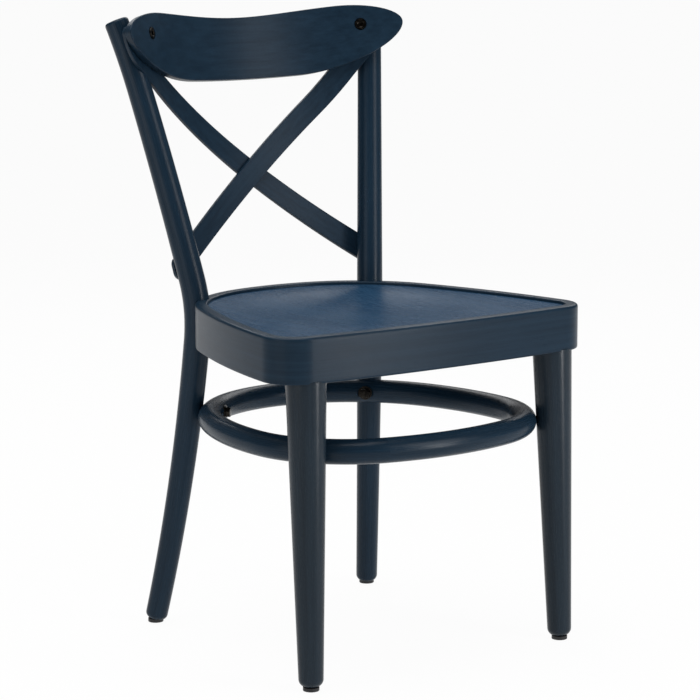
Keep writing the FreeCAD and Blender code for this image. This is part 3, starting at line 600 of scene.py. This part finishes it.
def closed_outline(front, back, rights, ends):
    """A symmetric outline of tangent arcs, counter-clockwise from the middle of the front."""
    right = []
    for i, centre in enumerate(rights):
        right += arc_points(centre, ends[i], ends[i + 1])
    left = [mirrored(p) for p in reversed(right + [ends[-1]])][:-1]
    return (arc_points(front, mirrored(ends[0]), ends[0]) + right
            + arc_points(back, ends[-1], mirrored(ends[-1])) + left)


print("step along an outline", outline_step)

# %% Ring
ring_height, ring_radius, ring_let_in = 0.303, 0.0165, 0.0004
leg_bearing, post_side_bearing = math.radians(37.9), math.radians(43.4)
leg_side = Vector((math.cos(leg_bearing), -math.sin(leg_bearing), 0))
post_side = Vector((math.sin(post_side_bearing), math.cos(post_side_bearing), 0))
ring_leg, ring_post = leg_point(ring_height), post_point(ring_height)
leg_reach = ring_radius + leg_radius(ring_height) - ring_let_in
post_reach = ring_radius + post_radius(ring_height) - ring_let_in
ring_front_radius, ring_corner_radius, ring_side_radius = 0.375, 0.142, 0.353
ring_corner = ring_leg - leg_side * (ring_corner_radius + leg_reach)
ring_back = Vector((0, ring_post.y - ring_post.x * post_side.y / post_side.x, ring_height))
ring_back_radius = ring_post.x / post_side.x - post_reach
ring_rise = math.sqrt((ring_front_radius - ring_corner_radius) ** 2 - ring_corner.x ** 2)
ring_front = Vector((0, ring_corner.y + ring_rise, ring_height))
across_the_ring = Vector((-ring_side_radius, 0, ring_height))
ring_side = circle_meet(ring_corner, ring_side_radius - ring_corner_radius,
                        ring_back, ring_side_radius - ring_back_radius, across_the_ring)
ring_ends = [beyond(ring_front, ring_corner, ring_front_radius),
             beyond(ring_side, ring_corner, ring_side_radius),
             beyond(ring_side, ring_back, ring_side_radius)]
ring_line = closed_outline(ring_front, ring_back, [ring_corner, ring_side], ring_ends)
ring = rod_piece("stretcher_ring_bent", ring_line, [ring_radius] * len(ring_line), rod_wood, closed=True)
placed(ring, "rod_wood", "stretcher_ring")

# %% [markdown]
# ## Seat rim
# The seat frame is a bent hoop, 60 mm high, with a soft round on its outer top edge and a rebate for the
# panel inside. It could be cut from a block, but a moulding drawn once and swept round the outline keeps
# its section true in the tight front corners, and lets the grain run round with the hoop.

# %% Moulding tree
moulding = Shape("swept moulding")
moulding_section = moulding.ask("Section", "Object")
moulding_material = moulding.ask("Material", "Material")
hoop = moulding.measured(moulding.start)
hoop = moulding.node("GeometryNodeSetCurveNormal", {"mode": "Z_UP"}, {"Curve": hoop})
drawn = moulding.node("GeometryNodeObjectInfo", {}, {"Object": moulding_section}).out("Geometry")
drawn = moulding.keep(drawn, "section", moulding.node("GeometryNodeInputPosition"))
band = moulding.node("GeometryNodeCurveToMesh", {}, {"Curve": hoop, "Profile Curve": drawn, "Scale": 1.0})
moulding.finish(moulding.grained(band, moulding.recall("section"), ("section",)), moulding_material)
print("moulding tree nodes", len(moulding.tree.nodes))


# %% Seat outline and rounds
def seat_outline(inset, height):
    """The seat outline drawn in by an inset, at a height."""
    ends = [beyond(front_centre, corner_centre, front_radius - inset),
            beyond(side_centre, corner_centre, side_radius - inset),
            beyond(side_centre, rear_centre, side_radius - inset),
            beyond(back_centre, rear_centre, back_radius - inset)]
    line = closed_outline(front_centre, back_centre, [corner_centre, side_centre, rear_centre], ends)
    return [point + Vector((0, 0, height)) for point in line]


def corner_round(centre, radius, first, steps):
    """A quarter round of a moulding, turning clockwise from a first angle in degrees."""
    turns = [math.radians(first - 90 * i / steps) for i in range(steps + 1)]
    return [(centre[0] + radius * math.cos(turn), centre[1] + radius * math.sin(turn)) for turn in turns]


print("points round the seat", len(seat_outline(0, 0)))

# %% Rim section
frame_thickness, rim_width, panel_recess, panel_thickness = 0.028, 0.017, 0.004, 0.009
rebate = seat_height - panel_recess - panel_thickness
rim_round, arris = 0.004, 0.002
# Points this far from a round or a corner keep the flats flat.
lead, long_lead, short_lead, close = 0.002, 0.003, 0.0015, 0.0005
rim_section = corner_round((arris, rim_bottom + arris), arris, 270, 4)
rim_section += [(0, rim_bottom + arris + lead), (0, (rim_bottom + seat_height) / 2)]
rim_section += [(0, seat_height - rim_round - long_lead)]
rim_section += corner_round((rim_round, seat_height - rim_round), rim_round, 180, 8)
rim_section += [(rim_round + lead, seat_height), (rim_width - arris - short_lead, seat_height)]
rim_section += corner_round((rim_width - arris, seat_height - arris), arris, 90, 5)
rim_section += [(rim_width, seat_height - panel_recess), (rim_width, rebate + close), (rim_width, rebate)]
rim_section += [(rim_width + close, rebate), (frame_thickness - close, rebate), (frame_thickness, rebate)]
rim_section += [(frame_thickness, rebate - close), (frame_thickness, rim_bottom + close)]
rim_section += [(frame_thickness, rim_bottom), (frame_thickness - close, rim_bottom)]
print("points in the rim section", len(rim_section))

# %% Rim
section_points = [(-inset, -height, 0) for inset, height in rim_section]
section_object = bpy.data.objects.new("rim_section", poly_curve("rim_section", section_points, closed=True))
bpy.context.collection.objects.link(section_object)
rim = grown("seat_rim_swept", moulding, poly_curve("seat_rim", seat_outline(0, 0), closed=True),
            {"Section": section_object, "Material": rim_wood})
bpy.data.objects.remove(section_object)
placed(rim, "rim_wood", "seat_frame")

# %% [markdown]
# ## Dished panel
# The seat panel is thin plywood, pressed into a round dish. A lattice of points is laid out in the tree:
# one direction runs round the seat outline, the other from the middle to the edge. Its height then follows
# two arcs, the bowl and the shoulder, so the dish blends into the flat margin as the press leaves it.

# %% Dish
dish_radius, dish_depth, shoulder_radius = 0.178, 0.009, 0.400
edge_lean = 2 * math.atan(dish_depth / dish_radius)
bowl_radius = dish_radius / math.sin(edge_lean) - shoulder_radius
bowl_edge = bowl_radius * math.sin(edge_lean)
middle = (0.0, seat_front + seat_depth / 2, seat_height - panel_recess)
print("bowl radius", round(bowl_radius, 4), "to", round(bowl_edge, 4))

# %% Panel tree: the lattice
centre_weld, edge_weld = 0.00002, 0.00001
panel = Shape("dished panel")
panel_rings = panel.ask("Rings", "Int")
panel_spokes = panel.ask("Spokes", "Int")
panel_drop = panel.ask("Thickness", "Float")
panel_material = panel.ask("Material", "Material")
lattice = panel.node("GeometryNodeMeshGrid", {}, {"Size X": 1.0, "Size Y": 1.0, "Vertices X": panel_spokes,
                                                  "Vertices Y": panel_rings})
spot = panel.node("GeometryNodeInputPosition")
edge = panel.node("GeometryNodeSampleCurve", {"mode": "FACTOR"},
                  {"Curves": panel.start, "Factor": 0.5 - panel.part(spot, "X")}).out("Position")
reach = (edge - middle) * (panel.part(spot, "Y") + 0.5)
lattice = panel.node("GeometryNodeSetPosition", {}, {"Geometry": lattice, "Position": reach + middle})
lattice = panel.node("GeometryNodeMergeByDistance", {}, {"Geometry": lattice, "Distance": centre_weld})
print("lattice nodes", len(panel.tree.nodes))

# %% Panel tree: dish and thickness
away = panel.node("GeometryNodeInputPosition") - middle
span = panel.node("ShaderNodeVectorMath", {"operation": "LENGTH"}, {0: away}).out("Value")
in_bowl = panel.node("ShaderNodeClamp", {}, {"Value": span, "Min": 0.0, "Max": bowl_edge})
past_bowl = panel.node("ShaderNodeClamp", {}, {"Value": span, "Min": bowl_edge, "Max": dish_radius})
on_shoulder = dish_radius - past_bowl
bowl_rise = (bowl_radius - (bowl_radius ** 2 - in_bowl * in_bowl) ** 0.5) - dish_depth
shoulder_fall = (shoulder_radius ** 2 - on_shoulder * on_shoulder) ** 0.5 - shoulder_radius
in_dish = span < bowl_edge
fall = bowl_rise * in_dish + shoulder_fall * (1.0 - in_dish)
sunk = panel.vector(0.0, 0.0, fall)
lattice = panel.node("GeometryNodeSetPosition", {}, {"Geometry": lattice, "Offset": sunk})
pressed = panel.node("GeometryNodeExtrudeMesh", {"mode": "FACES"},
                     {"Mesh": lattice, "Offset": panel.vector(0.0, 0.0, -1.0), "Offset Scale": panel_drop,
                      "Individual": False})
pressed = panel.node("GeometryNodeFlipFaces", {}, {"Mesh": pressed})
both_faces = panel.node("GeometryNodeJoinGeometry", {}, {"Geometry": pressed})
panel.tree.links.new(lattice.socket, both_faces.socket.node.inputs["Geometry"])
solid = panel.node("GeometryNodeMergeByDistance", {}, {"Geometry": both_faces, "Distance": edge_weld})
spot = panel.node("GeometryNodeInputPosition")
grain = panel.vector(panel.part(spot, "Y"), panel.part(spot, "X"), panel.part(spot, "Z"))
panel.finish(panel.keep(solid, "grain", grain), panel_material)
print("panel tree nodes", len(panel.tree.nodes))

# %% Panel
panel_gap = 0.00015
panel_line = seat_outline(rim_width + panel_gap, seat_height - panel_recess)
seat = grown("seat_panel_pressed", panel, poly_curve("seat_panel", panel_line, closed=True),
             {"Rings": 56, "Spokes": 241, "Thickness": panel_thickness, "Material": panel_wood})
placed(seat, "panel_wood", "seat_panel")

# %% [markdown]
# ## Crest and crossed laths
# The crest is a board bent round the sitter's back, and the laths are strips bent the same way. Their
# outlines are already cut in the solids, with the recesses for the bolts and the rounds of the crest. They
# could be swept anew, but a welded copy of each solid has every cut in its place. The laths' sharp arrises
# are eased as sandpaper leaves them, and a grain is laid along the bend.

# %% Back of the chair in its own axes
tail_height, head_height = 0.5065, 0.787
low_cross, high_cross = post_point(tail_height), post_point(head_height)
back_lean = math.atan2(high_cross.y - low_cross.y, high_cross.z - low_cross.z)
cross_rise = math.hypot(high_cross.y - low_cross.y, high_cross.z - low_cross.z)
back_place = Matrix.Translation((0, low_cross.y, low_cross.z)) @ Matrix.Rotation(-back_lean, 4, "X")
to_back = back_place.inverted()
lath_thickness, crest_thickness = 0.0065, 0.0125
end_turn = math.radians(30)
end_normal = Vector((math.sin(end_turn), math.cos(end_turn), 0))
print("lean of the back", round(math.degrees(back_lean), 2))

# %% Eased copies of solids
weld_distance, arris_turn, crease_turn = 0.000002, math.radians(38), math.radians(32)


def bent_length(x, radius):
    """How far along a strip a point is, for a strip bent to a radius with straight ends."""
    turn = math.asin(min(abs(x) / radius, math.sin(end_turn)))
    straight = max(abs(x) - radius * math.sin(end_turn), 0.0) / math.cos(end_turn)
    return math.copysign(turn * radius + straight, x)


def eased_copy(node, name, ease, radius, slope, material):
    """A welded copy of a solid with eased arrises and its grain along a slope in the front view."""
    work = bmesh.new()
    work.from_mesh(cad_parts[node].data)
    bmesh.ops.remove_doubles(work, verts=work.verts, dist=weld_distance)
    if ease:
        sharp = [e for e in work.edges if len(e.link_faces) == 2 and e.calc_face_angle() > arris_turn]
        bmesh.ops.bevel(work, geom=sharp, offset=ease, offset_type="OFFSET", segments=2, profile=0.5,
                        affect="EDGES", clamp_overlap=False)
    for face in work.faces:
        face.smooth = True
    for edge in work.edges:
        edge.smooth = len(edge.link_faces) == 2 and edge.calc_face_angle() < crease_turn
    mesh = bpy.data.meshes.new(name)
    work.to_mesh(mesh)
    work.free()
    grain_layer = mesh.attributes.new("grain", "FLOAT_VECTOR", "POINT")
    for vertex in mesh.vertices:
        place = to_back @ vertex.co
        run = bent_length(place.x, radius)
        grain_layer.data[vertex.index].vector = (run * math.cos(slope) + place.z * math.sin(slope),
                                                 place.z * math.cos(slope) - run * math.sin(slope), place.y)
    mesh.materials.append(material)
    piece = bpy.data.objects.new(name, mesh)
    bpy.context.collection.objects.link(piece)
    weigh = piece.modifiers.new("weigh", "WEIGHTED_NORMAL")
    weigh.keep_sharp = True
    return piece


print("solids can be copied and eased")

# %% Crest and laths
lath_slope = math.atan2(cross_rise, high_cross.x + low_cross.x)
crest_bend, lath_bend, lath_ease = 0.326, 0.40, 0.0009
crest = eased_copy("crest_rail", "crest_rail_bent", 0.0, crest_bend, 0.0, crest_wood)
placed(crest, "crest_wood", "crest_rail")
for node, slope in (("cross_lath_front", lath_slope), ("cross_lath_rear", -lath_slope)):
    lath = eased_copy(node, node + "_bent", lath_ease, lath_bend, slope, lath_wood)
    placed(lath, "lath_wood", node)

# %% [markdown]
# ## Fasteners and glides
# Bolts of one kind are the same thing several times over, so one is turned as a stack of rings and a tree
# sets a copy on every point, turned along the point's own direction. A ring is round, or six-sided where a
# spanner or key goes.

# %% Turned masters
def turned_mesh(name, rings, sides=48):
    """A closed mesh from rings of (radius, height, share of a hexagon), the first and last at the axis."""
    work = bmesh.new()

    def spread(radius, six, i):
        turn = 2 * math.pi * i / sides
        flat_way = (turn + math.pi / 6) % (math.pi / 3) - math.pi / 6
        return radius * (1 + six * (1 / math.cos(flat_way) - 1)), turn

    loops = []
    for radius, height, six in rings:
        if radius == 0:
            loops.append([work.verts.new((0, 0, height))] * sides)
            continue
        loop = []
        for i in range(sides):
            size, turn = spread(radius, six, i)
            loop.append(work.verts.new((size * math.cos(turn), size * math.sin(turn), height)))
        loops.append(loop)
    for low, high in zip(loops, loops[1:]):
        for i in range(sides):
            j = (i + 1) % sides
            corners = [low[i], low[j], high[j], high[i]]
            work.faces.new([v for k, v in enumerate(corners) if v not in corners[:k]])
    bmesh.ops.recalc_face_normals(work, faces=work.faces)
    mesh = bpy.data.meshes.new(name)
    work.to_mesh(mesh)
    work.free()
    return mesh


print("pieces can be turned")

# %% Setting tree
setting = Shape("set on points")
setting_master = setting.ask("Master", "Object")
setting_material = setting.ask("Material", "Material")
turn_to = setting.node("FunctionNodeAlignRotationToVector", {"axis": "Z"}, {"Vector": setting.recall("way")})
master = setting.node("GeometryNodeObjectInfo", {}, {"Object": setting_master}).out("Geometry")
copies = setting.node("GeometryNodeInstanceOnPoints", {}, {"Points": setting.start, "Instance": master,
                                                           "Rotation": turn_to})
setting.finish(copies, setting_material)


def set_on(name, rings, frames, material, sides=48):
    """Copies of one turned piece, each at a point and looking along a direction."""
    points = bpy.data.meshes.new(name + "_points")
    points.from_pydata([frame_point for frame_point, _ in frames], [], [])
    ways = points.attributes.new("way", "FLOAT_VECTOR", "POINT")
    for i, (_, way) in enumerate(frames):
        ways.data[i].vector = way
    master_object = bpy.data.objects.new(name + "_master", turned_mesh(name + "_master", rings, sides))
    bpy.context.collection.objects.link(master_object)
    piece = grown(name, setting, points, {"Master": master_object, "Material": material})
    bpy.data.objects.remove(master_object)
    return piece


def both_sides(frames):
    return frames + [(mirrored(point), mirrored(way)) for point, way in frames]


print("setting tree nodes", len(setting.tree.nodes))

# %% Crest bolts
bolt_turn = math.radians(38)
bolt_in, bolt_up, head_sink = 0.0102, 0.0275, 0.004
lath_head_let_in = 0.0025
bolt_way = Vector((math.sin(bolt_turn), math.cos(bolt_turn), 0))
bolt_end = Vector((high_cross.x - bolt_in, 0, cross_rise + bolt_up))
lath_line = high_cross.x * end_normal.x - (post_radius(head_height) - lath_head_let_in + lath_thickness / 2)
crest_line = lath_line - lath_thickness / 2 - crest_thickness
bolt_travel = (bolt_end.dot(end_normal) - crest_line) / bolt_way.dot(end_normal)
bolt_seat = bolt_end - bolt_way * (bolt_travel - head_sink)
bolt_frames = both_sides([(back_place @ bolt_seat, back_place.to_3x3() @ bolt_way * -1)])
shank = [(0, -0.040, 0), (0.0035, -0.040, 0), (0.0035, 0, 0)]
head = [(0.00775, 0, 0), (0.00775, 0.0038, 0), (0.0076, 0.0045, 0), (0.0072, 0.0049, 0), (0.0066, 0.0050, 0)]
key_hole = [(0.0050, 0.0050, 0), (0.0046, 0.0049, 0.3), (0.00385, 0.0044, 1), (0.00375, 0.0040, 1),
            (0.00375, 0.0016, 1), (0, 0.0013, 0)]
crest_bolt_rings = shank + head + key_hole
crest_bolts = set_on("crest_bolts_turned", crest_bolt_rings, bolt_frames, black_bolt)
placed(crest_bolts, "black_bolt", "crest_bolts")

# %% Ring bolts with their washers
spot_face, washer_thickness, screw_sink = 0.001, 0.0022, 0.0012
ring_seats = both_sides([(ring_post - post_side * (post_reach + ring_radius - spot_face), post_side * -1)])
screw_seats = both_sides([(ring_leg - leg_side * (leg_reach + ring_radius - screw_sink), leg_side * -1)])
washer_rings = [(0.0042, 0, 0), (0.0095, 0, 0), (0.0097, 0.0002, 0), (0.0097, 0.0018, 0), (0.0094, 0.0022, 0),
                (0.0044, 0.0022, 0), (0.0042, 0.0020, 0), (0.0042, 0, 0)]
washers = set_on("ring_washers_pressed", washer_rings, ring_seats, black_bolt)
placed(washers, "black_bolt", "ring_washers")
head_frames = [(point + way * washer_thickness, way) for point, way in ring_seats]
hex_rings = [(0, -0.020, 0), (0.004, -0.020, 0), (0.004, 0, 0), (0.0065, 0, 1), (0.0065, 0.0048, 1),
             (0.0065, 0.0053, 0.75), (0.0063, 0.0058, 0.2), (0.0059, 0.0060, 0), (0.0015, 0.0060, 0),
             (0, 0.0060, 0)]
ring_bolts = set_on("ring_bolts_turned", hex_rings, head_frames, black_bolt)
placed(ring_bolts, "black_bolt", "ring_bolts")

# %% [markdown]
# The washers lie on flats that are spot-faced into the round rod, and the front screws are sunk in it. The
# rod was swept as a full round, so the flats and the sinks are bored out of it with a difference of solids.
# The washers inside the seat frame have flats of the same kind.

# %% Boring
def bored(piece, frames, radius, length):
    """Bores flat-bottomed holes into a piece, each from a point along its direction."""
    work = bmesh.new()
    for point, way in frames:
        turn = way.to_track_quat("Z", "Y").to_matrix().to_4x4()
        place = Matrix.Translation(point + way * length / 2) @ turn
        bmesh.ops.create_cone(work, cap_ends=True, segments=48, radius1=radius, radius2=radius, depth=length,
                              matrix=place)
    cutter_mesh = bpy.data.meshes.new("cutter")
    work.to_mesh(cutter_mesh)
    work.free()
    cutter = bpy.data.objects.new("cutter", cutter_mesh)
    bpy.context.collection.objects.link(cutter)
    cut = piece.modifiers.new("bore", "BOOLEAN")
    cut.operation, cut.solver, cut.object = "DIFFERENCE", "EXACT", cutter
    bpy.context.view_layer.update()
    graph = bpy.context.evaluated_depsgraph_get()
    mesh = bpy.data.meshes.new_from_object(piece.evaluated_get(graph), depsgraph=graph)
    piece.modifiers.remove(cut)
    piece.data = mesh
    bpy.data.objects.remove(cutter)
    print(piece.name, "bored, faces", len(mesh.polygons))


print("pieces can be bored")

# %% Spot faces
ring_flat_radius, screw_sink_radius, frame_flat_radius = 0.0102, 0.00505, 0.0085
bore_length, bolt_spacing = 0.010, 0.026
bored(ring, ring_seats, ring_flat_radius, bore_length)
bored(ring, screw_seats, screw_sink_radius, bore_length)
frame_seat = rear_centre + post_outward * (rear_radius - frame_thickness + spot_face)
frame_levels = [(rim_bottom + rebate + gap) / 2 for gap in (-bolt_spacing, bolt_spacing)]
frame_seats = both_sides([(frame_seat + Vector((0, 0, z)), post_outward * -1) for z in frame_levels])
bored(rim, frame_seats, frame_flat_radius, frame_thickness)

# %% [markdown]
# The tails of the laths lie against the back of the posts, each with one small screw. Where a tail is follows
# from the arc that the lath takes in plan, so the screw's seat is worked out from that arc. Placing it by eye
# would leave it hanging in the air as soon as the back is made wider.

# %% Lath screws
lath_bow, tail_let_in, cross_gap = 0.043, 0.0015, 0.00045


def tail_arc(step):
    """Where the arc of a lath has its centre, and its radius."""
    behind = post_radius(tail_height) + lath_thickness / 2 - tail_let_in
    rise = lath_bow + step - behind
    centre = behind + (rise ** 2 - low_cross.x ** 2) / (2 * rise)
    return centre, lath_bow + step - centre


def lath_screw(step):
    """Where the head of a screw sits behind the tail of a lath, and its way out."""
    centre, radius = tail_arc(step)
    outward = Vector((low_cross.x, post_radius(tail_height) - centre, 0)).normalized()
    seat_point = Vector((0, centre, 0)) + outward * (radius + lath_thickness / 2)
    return back_place @ seat_point, back_place.to_3x3() @ outward


lath_step = (lath_thickness + cross_gap) / 2
right_screw, left_screw = lath_screw(lath_step), lath_screw(-lath_step)
screw_frames = [right_screw, (mirrored(left_screw[0]), mirrored(left_screw[1]))]
screw_rings = [(0, -0.020, 0), (0.0022, -0.020, 0), (0.0022, 0, 0), (0.0044, 0, 0), (0.0045, 0.0005, 0),
               (0.0042, 0.0014, 0), (0.0034, 0.0022, 0), (0.0024, 0.0026, 0), (0.0018, 0.0026, 0.6),
               (0.0016, 0.0024, 1), (0.0016, 0.0012, 1), (0, 0.0010, 0)]
lath_screws = set_on("lath_screws_turned", screw_rings, screw_frames, black_bolt, sides=36)
placed(lath_screws, "black_bolt", "lath_screws")

# %% [markdown]
# The glides are small moulded discs with a rounded rim and a hole for the nail. Each could be a file of its
# own, but all four are alike, so the same tree sets them upright under the feet.

# %% Glides
foot_points = [leg_point(glide_height), post_point(glide_height)]
glide_frames = both_sides([(Vector((p.x, p.y, 0)), Vector((0, 0, 1))) for p in foot_points])
glide_rings = [(0, 0.0027, 0), (0.0037, 0.0027, 0), (0.0037, 0.0003, 0), (0.0041, 0, 0), (0.0097, 0, 0),
               (0.0103, 0.0002, 0), (0.0106, 0.0006, 0), (0.0107, 0.0011, 0), (0.0107, 0.0050, 0),
               (0, 0.0050, 0)]
glides = set_on("glides_moulded", glide_rings, glide_frames, glide_plastic)
placed(glides, "glide_plastic", "glide_front_left", "glide_front_right",
       "glide_rear_left", "glide_rear_right")

# %% [markdown]
# ## Hidden pieces
# Blocks, inner bolts and nails sit under the seat and the feet. Their solids are right as they are, so they
# keep them and only take a finish.

# %% Finishes on solids
kept_finishes = {"corner_block_left": block_wood, "corner_block_right": block_wood,
                 "ring_screws": black_bolt, "seat_bolts": plain_steel,
                 "seat_washers": plain_steel, "seat_bolt_inserts": plain_steel,
                 "corner_block_screws": plain_steel, "glide_nails": plain_steel}
for node, material in kept_finishes.items():
    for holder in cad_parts[node].material_slots:
        holder.material = material
    print(node, "slots", len(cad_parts[node].material_slots))

# %% [markdown]
# ## Floor, light and camera
# A studio shot on white: a pale floor that reaches past the picture, one wide soft light overhead, a weak
# one from the left, two upright strips at the front right for the long highlights on rods, rim and crest,
# and a wide light from behind that wakes the sheen of the seat. One sky picture could light it all, but
# lamps are plain to read and to move. The floor looks white to the camera and to mirrors, and still takes
# the chair's shadow.

# %% Floor
def seen_by_eye(tree):
    """One where a ray comes straight from the camera, or by way of a mirror or glass."""
    path = tree.node("ShaderNodeLightPath")
    total = path.out("Is Camera Ray") + path.out("Is Glossy Ray") + path.out("Is Transmission Ray")
    return tree.node("ShaderNodeClamp", {}, {"Value": total})


floor_material, tree = new_finish("pale_floor")
floor_nodes = floor_material.node_tree.nodes
floor_nodes.remove(floor_nodes["Principled BSDF"])
white_share, floor_reach = 0.96, 40
matt = tree.node("ShaderNodeBsdfDiffuse", {}, {"Color": (0.88, 0.88, 0.87, 1.0)})
glow = tree.node("ShaderNodeEmission", {}, {"Color": (1.0, 1.0, 1.0, 1.0), "Strength": 1.0})
mixed = tree.node("ShaderNodeMixShader", {}, {0: seen_by_eye(tree) * white_share, 1: matt, 2: glow})
floor_material.node_tree.links.new(mixed.socket, floor_nodes["Material Output"].inputs["Surface"])
floor_mesh = bpy.data.meshes.new("floor")
floor_corners = [(x * floor_reach, y * floor_reach, 0) for x, y in ((-1, -1), (1, -1), (1, 1), (-1, 1))]
floor_mesh.from_pydata(floor_corners, [], [(0, 1, 2, 3)])
floor_mesh.materials.append(floor_material)
floor = bpy.data.objects.new("floor", floor_mesh)
bpy.context.collection.objects.link(floor)
print("floor reaches", floor_reach, "m each way")

# %% World
world = bpy.data.worlds.new("studio")
bpy.context.scene.world = world
world.use_nodes = True
sky = world.node_tree.nodes["Background"]
sky.inputs["Color"].default_value = (1.0, 1.0, 1.0, 1.0)
sky.inputs["Strength"].default_value = 0.12
print("world made", world.name)


# %% Lamps
def lamp(name, place, target, width, height, power):
    light = bpy.data.lights.new(name, "AREA")
    light.shape = "RECTANGLE"
    light.size, light.size_y, light.energy = width, height, power
    holder = bpy.data.objects.new(name, light)
    bpy.context.collection.objects.link(holder)
    holder.location = place
    holder.rotation_euler = (Vector(target) - Vector(place)).to_track_quat("-Z", "Y").to_euler()
    print("lamp", name, power)


lamp("overhead", (-0.3, 0.2, 2.7), (0, 0, 0.45), 2.4, 2.4, 56)
lamp("left_soft", (-2.5, -0.45, 1.0), (0, 0, 0.5), 1.6, 1.8, 11)
lamp("low_strip", (0.9, -2.0, 0.45), (0, 0, 0.45), 0.25, 0.9, 13)
lamp("high_strip", (1.0, -2.0, 1.45), (0, 0, 0.7), 1.0, 1.2, 15)
lamp("back_soft", (1.6, 2.2, 2.0), (0, 0, 0.45), 3.0, 1.0, 26)

# %% Camera
camera_data = bpy.data.cameras.new("camera")
camera_data.sensor_width = 36.0
camera_data.lens = 149.16
camera = bpy.data.objects.new("camera", camera_data)
bpy.context.collection.objects.link(camera)
camera.location = (-2.3131, -3.1333, 1.0606)
camera.rotation_euler = (math.radians(80.255), 0, math.radians(-36.609))
bpy.context.scene.camera = camera
bpy.context.scene.view_settings.view_transform = "Standard"
print("camera set")
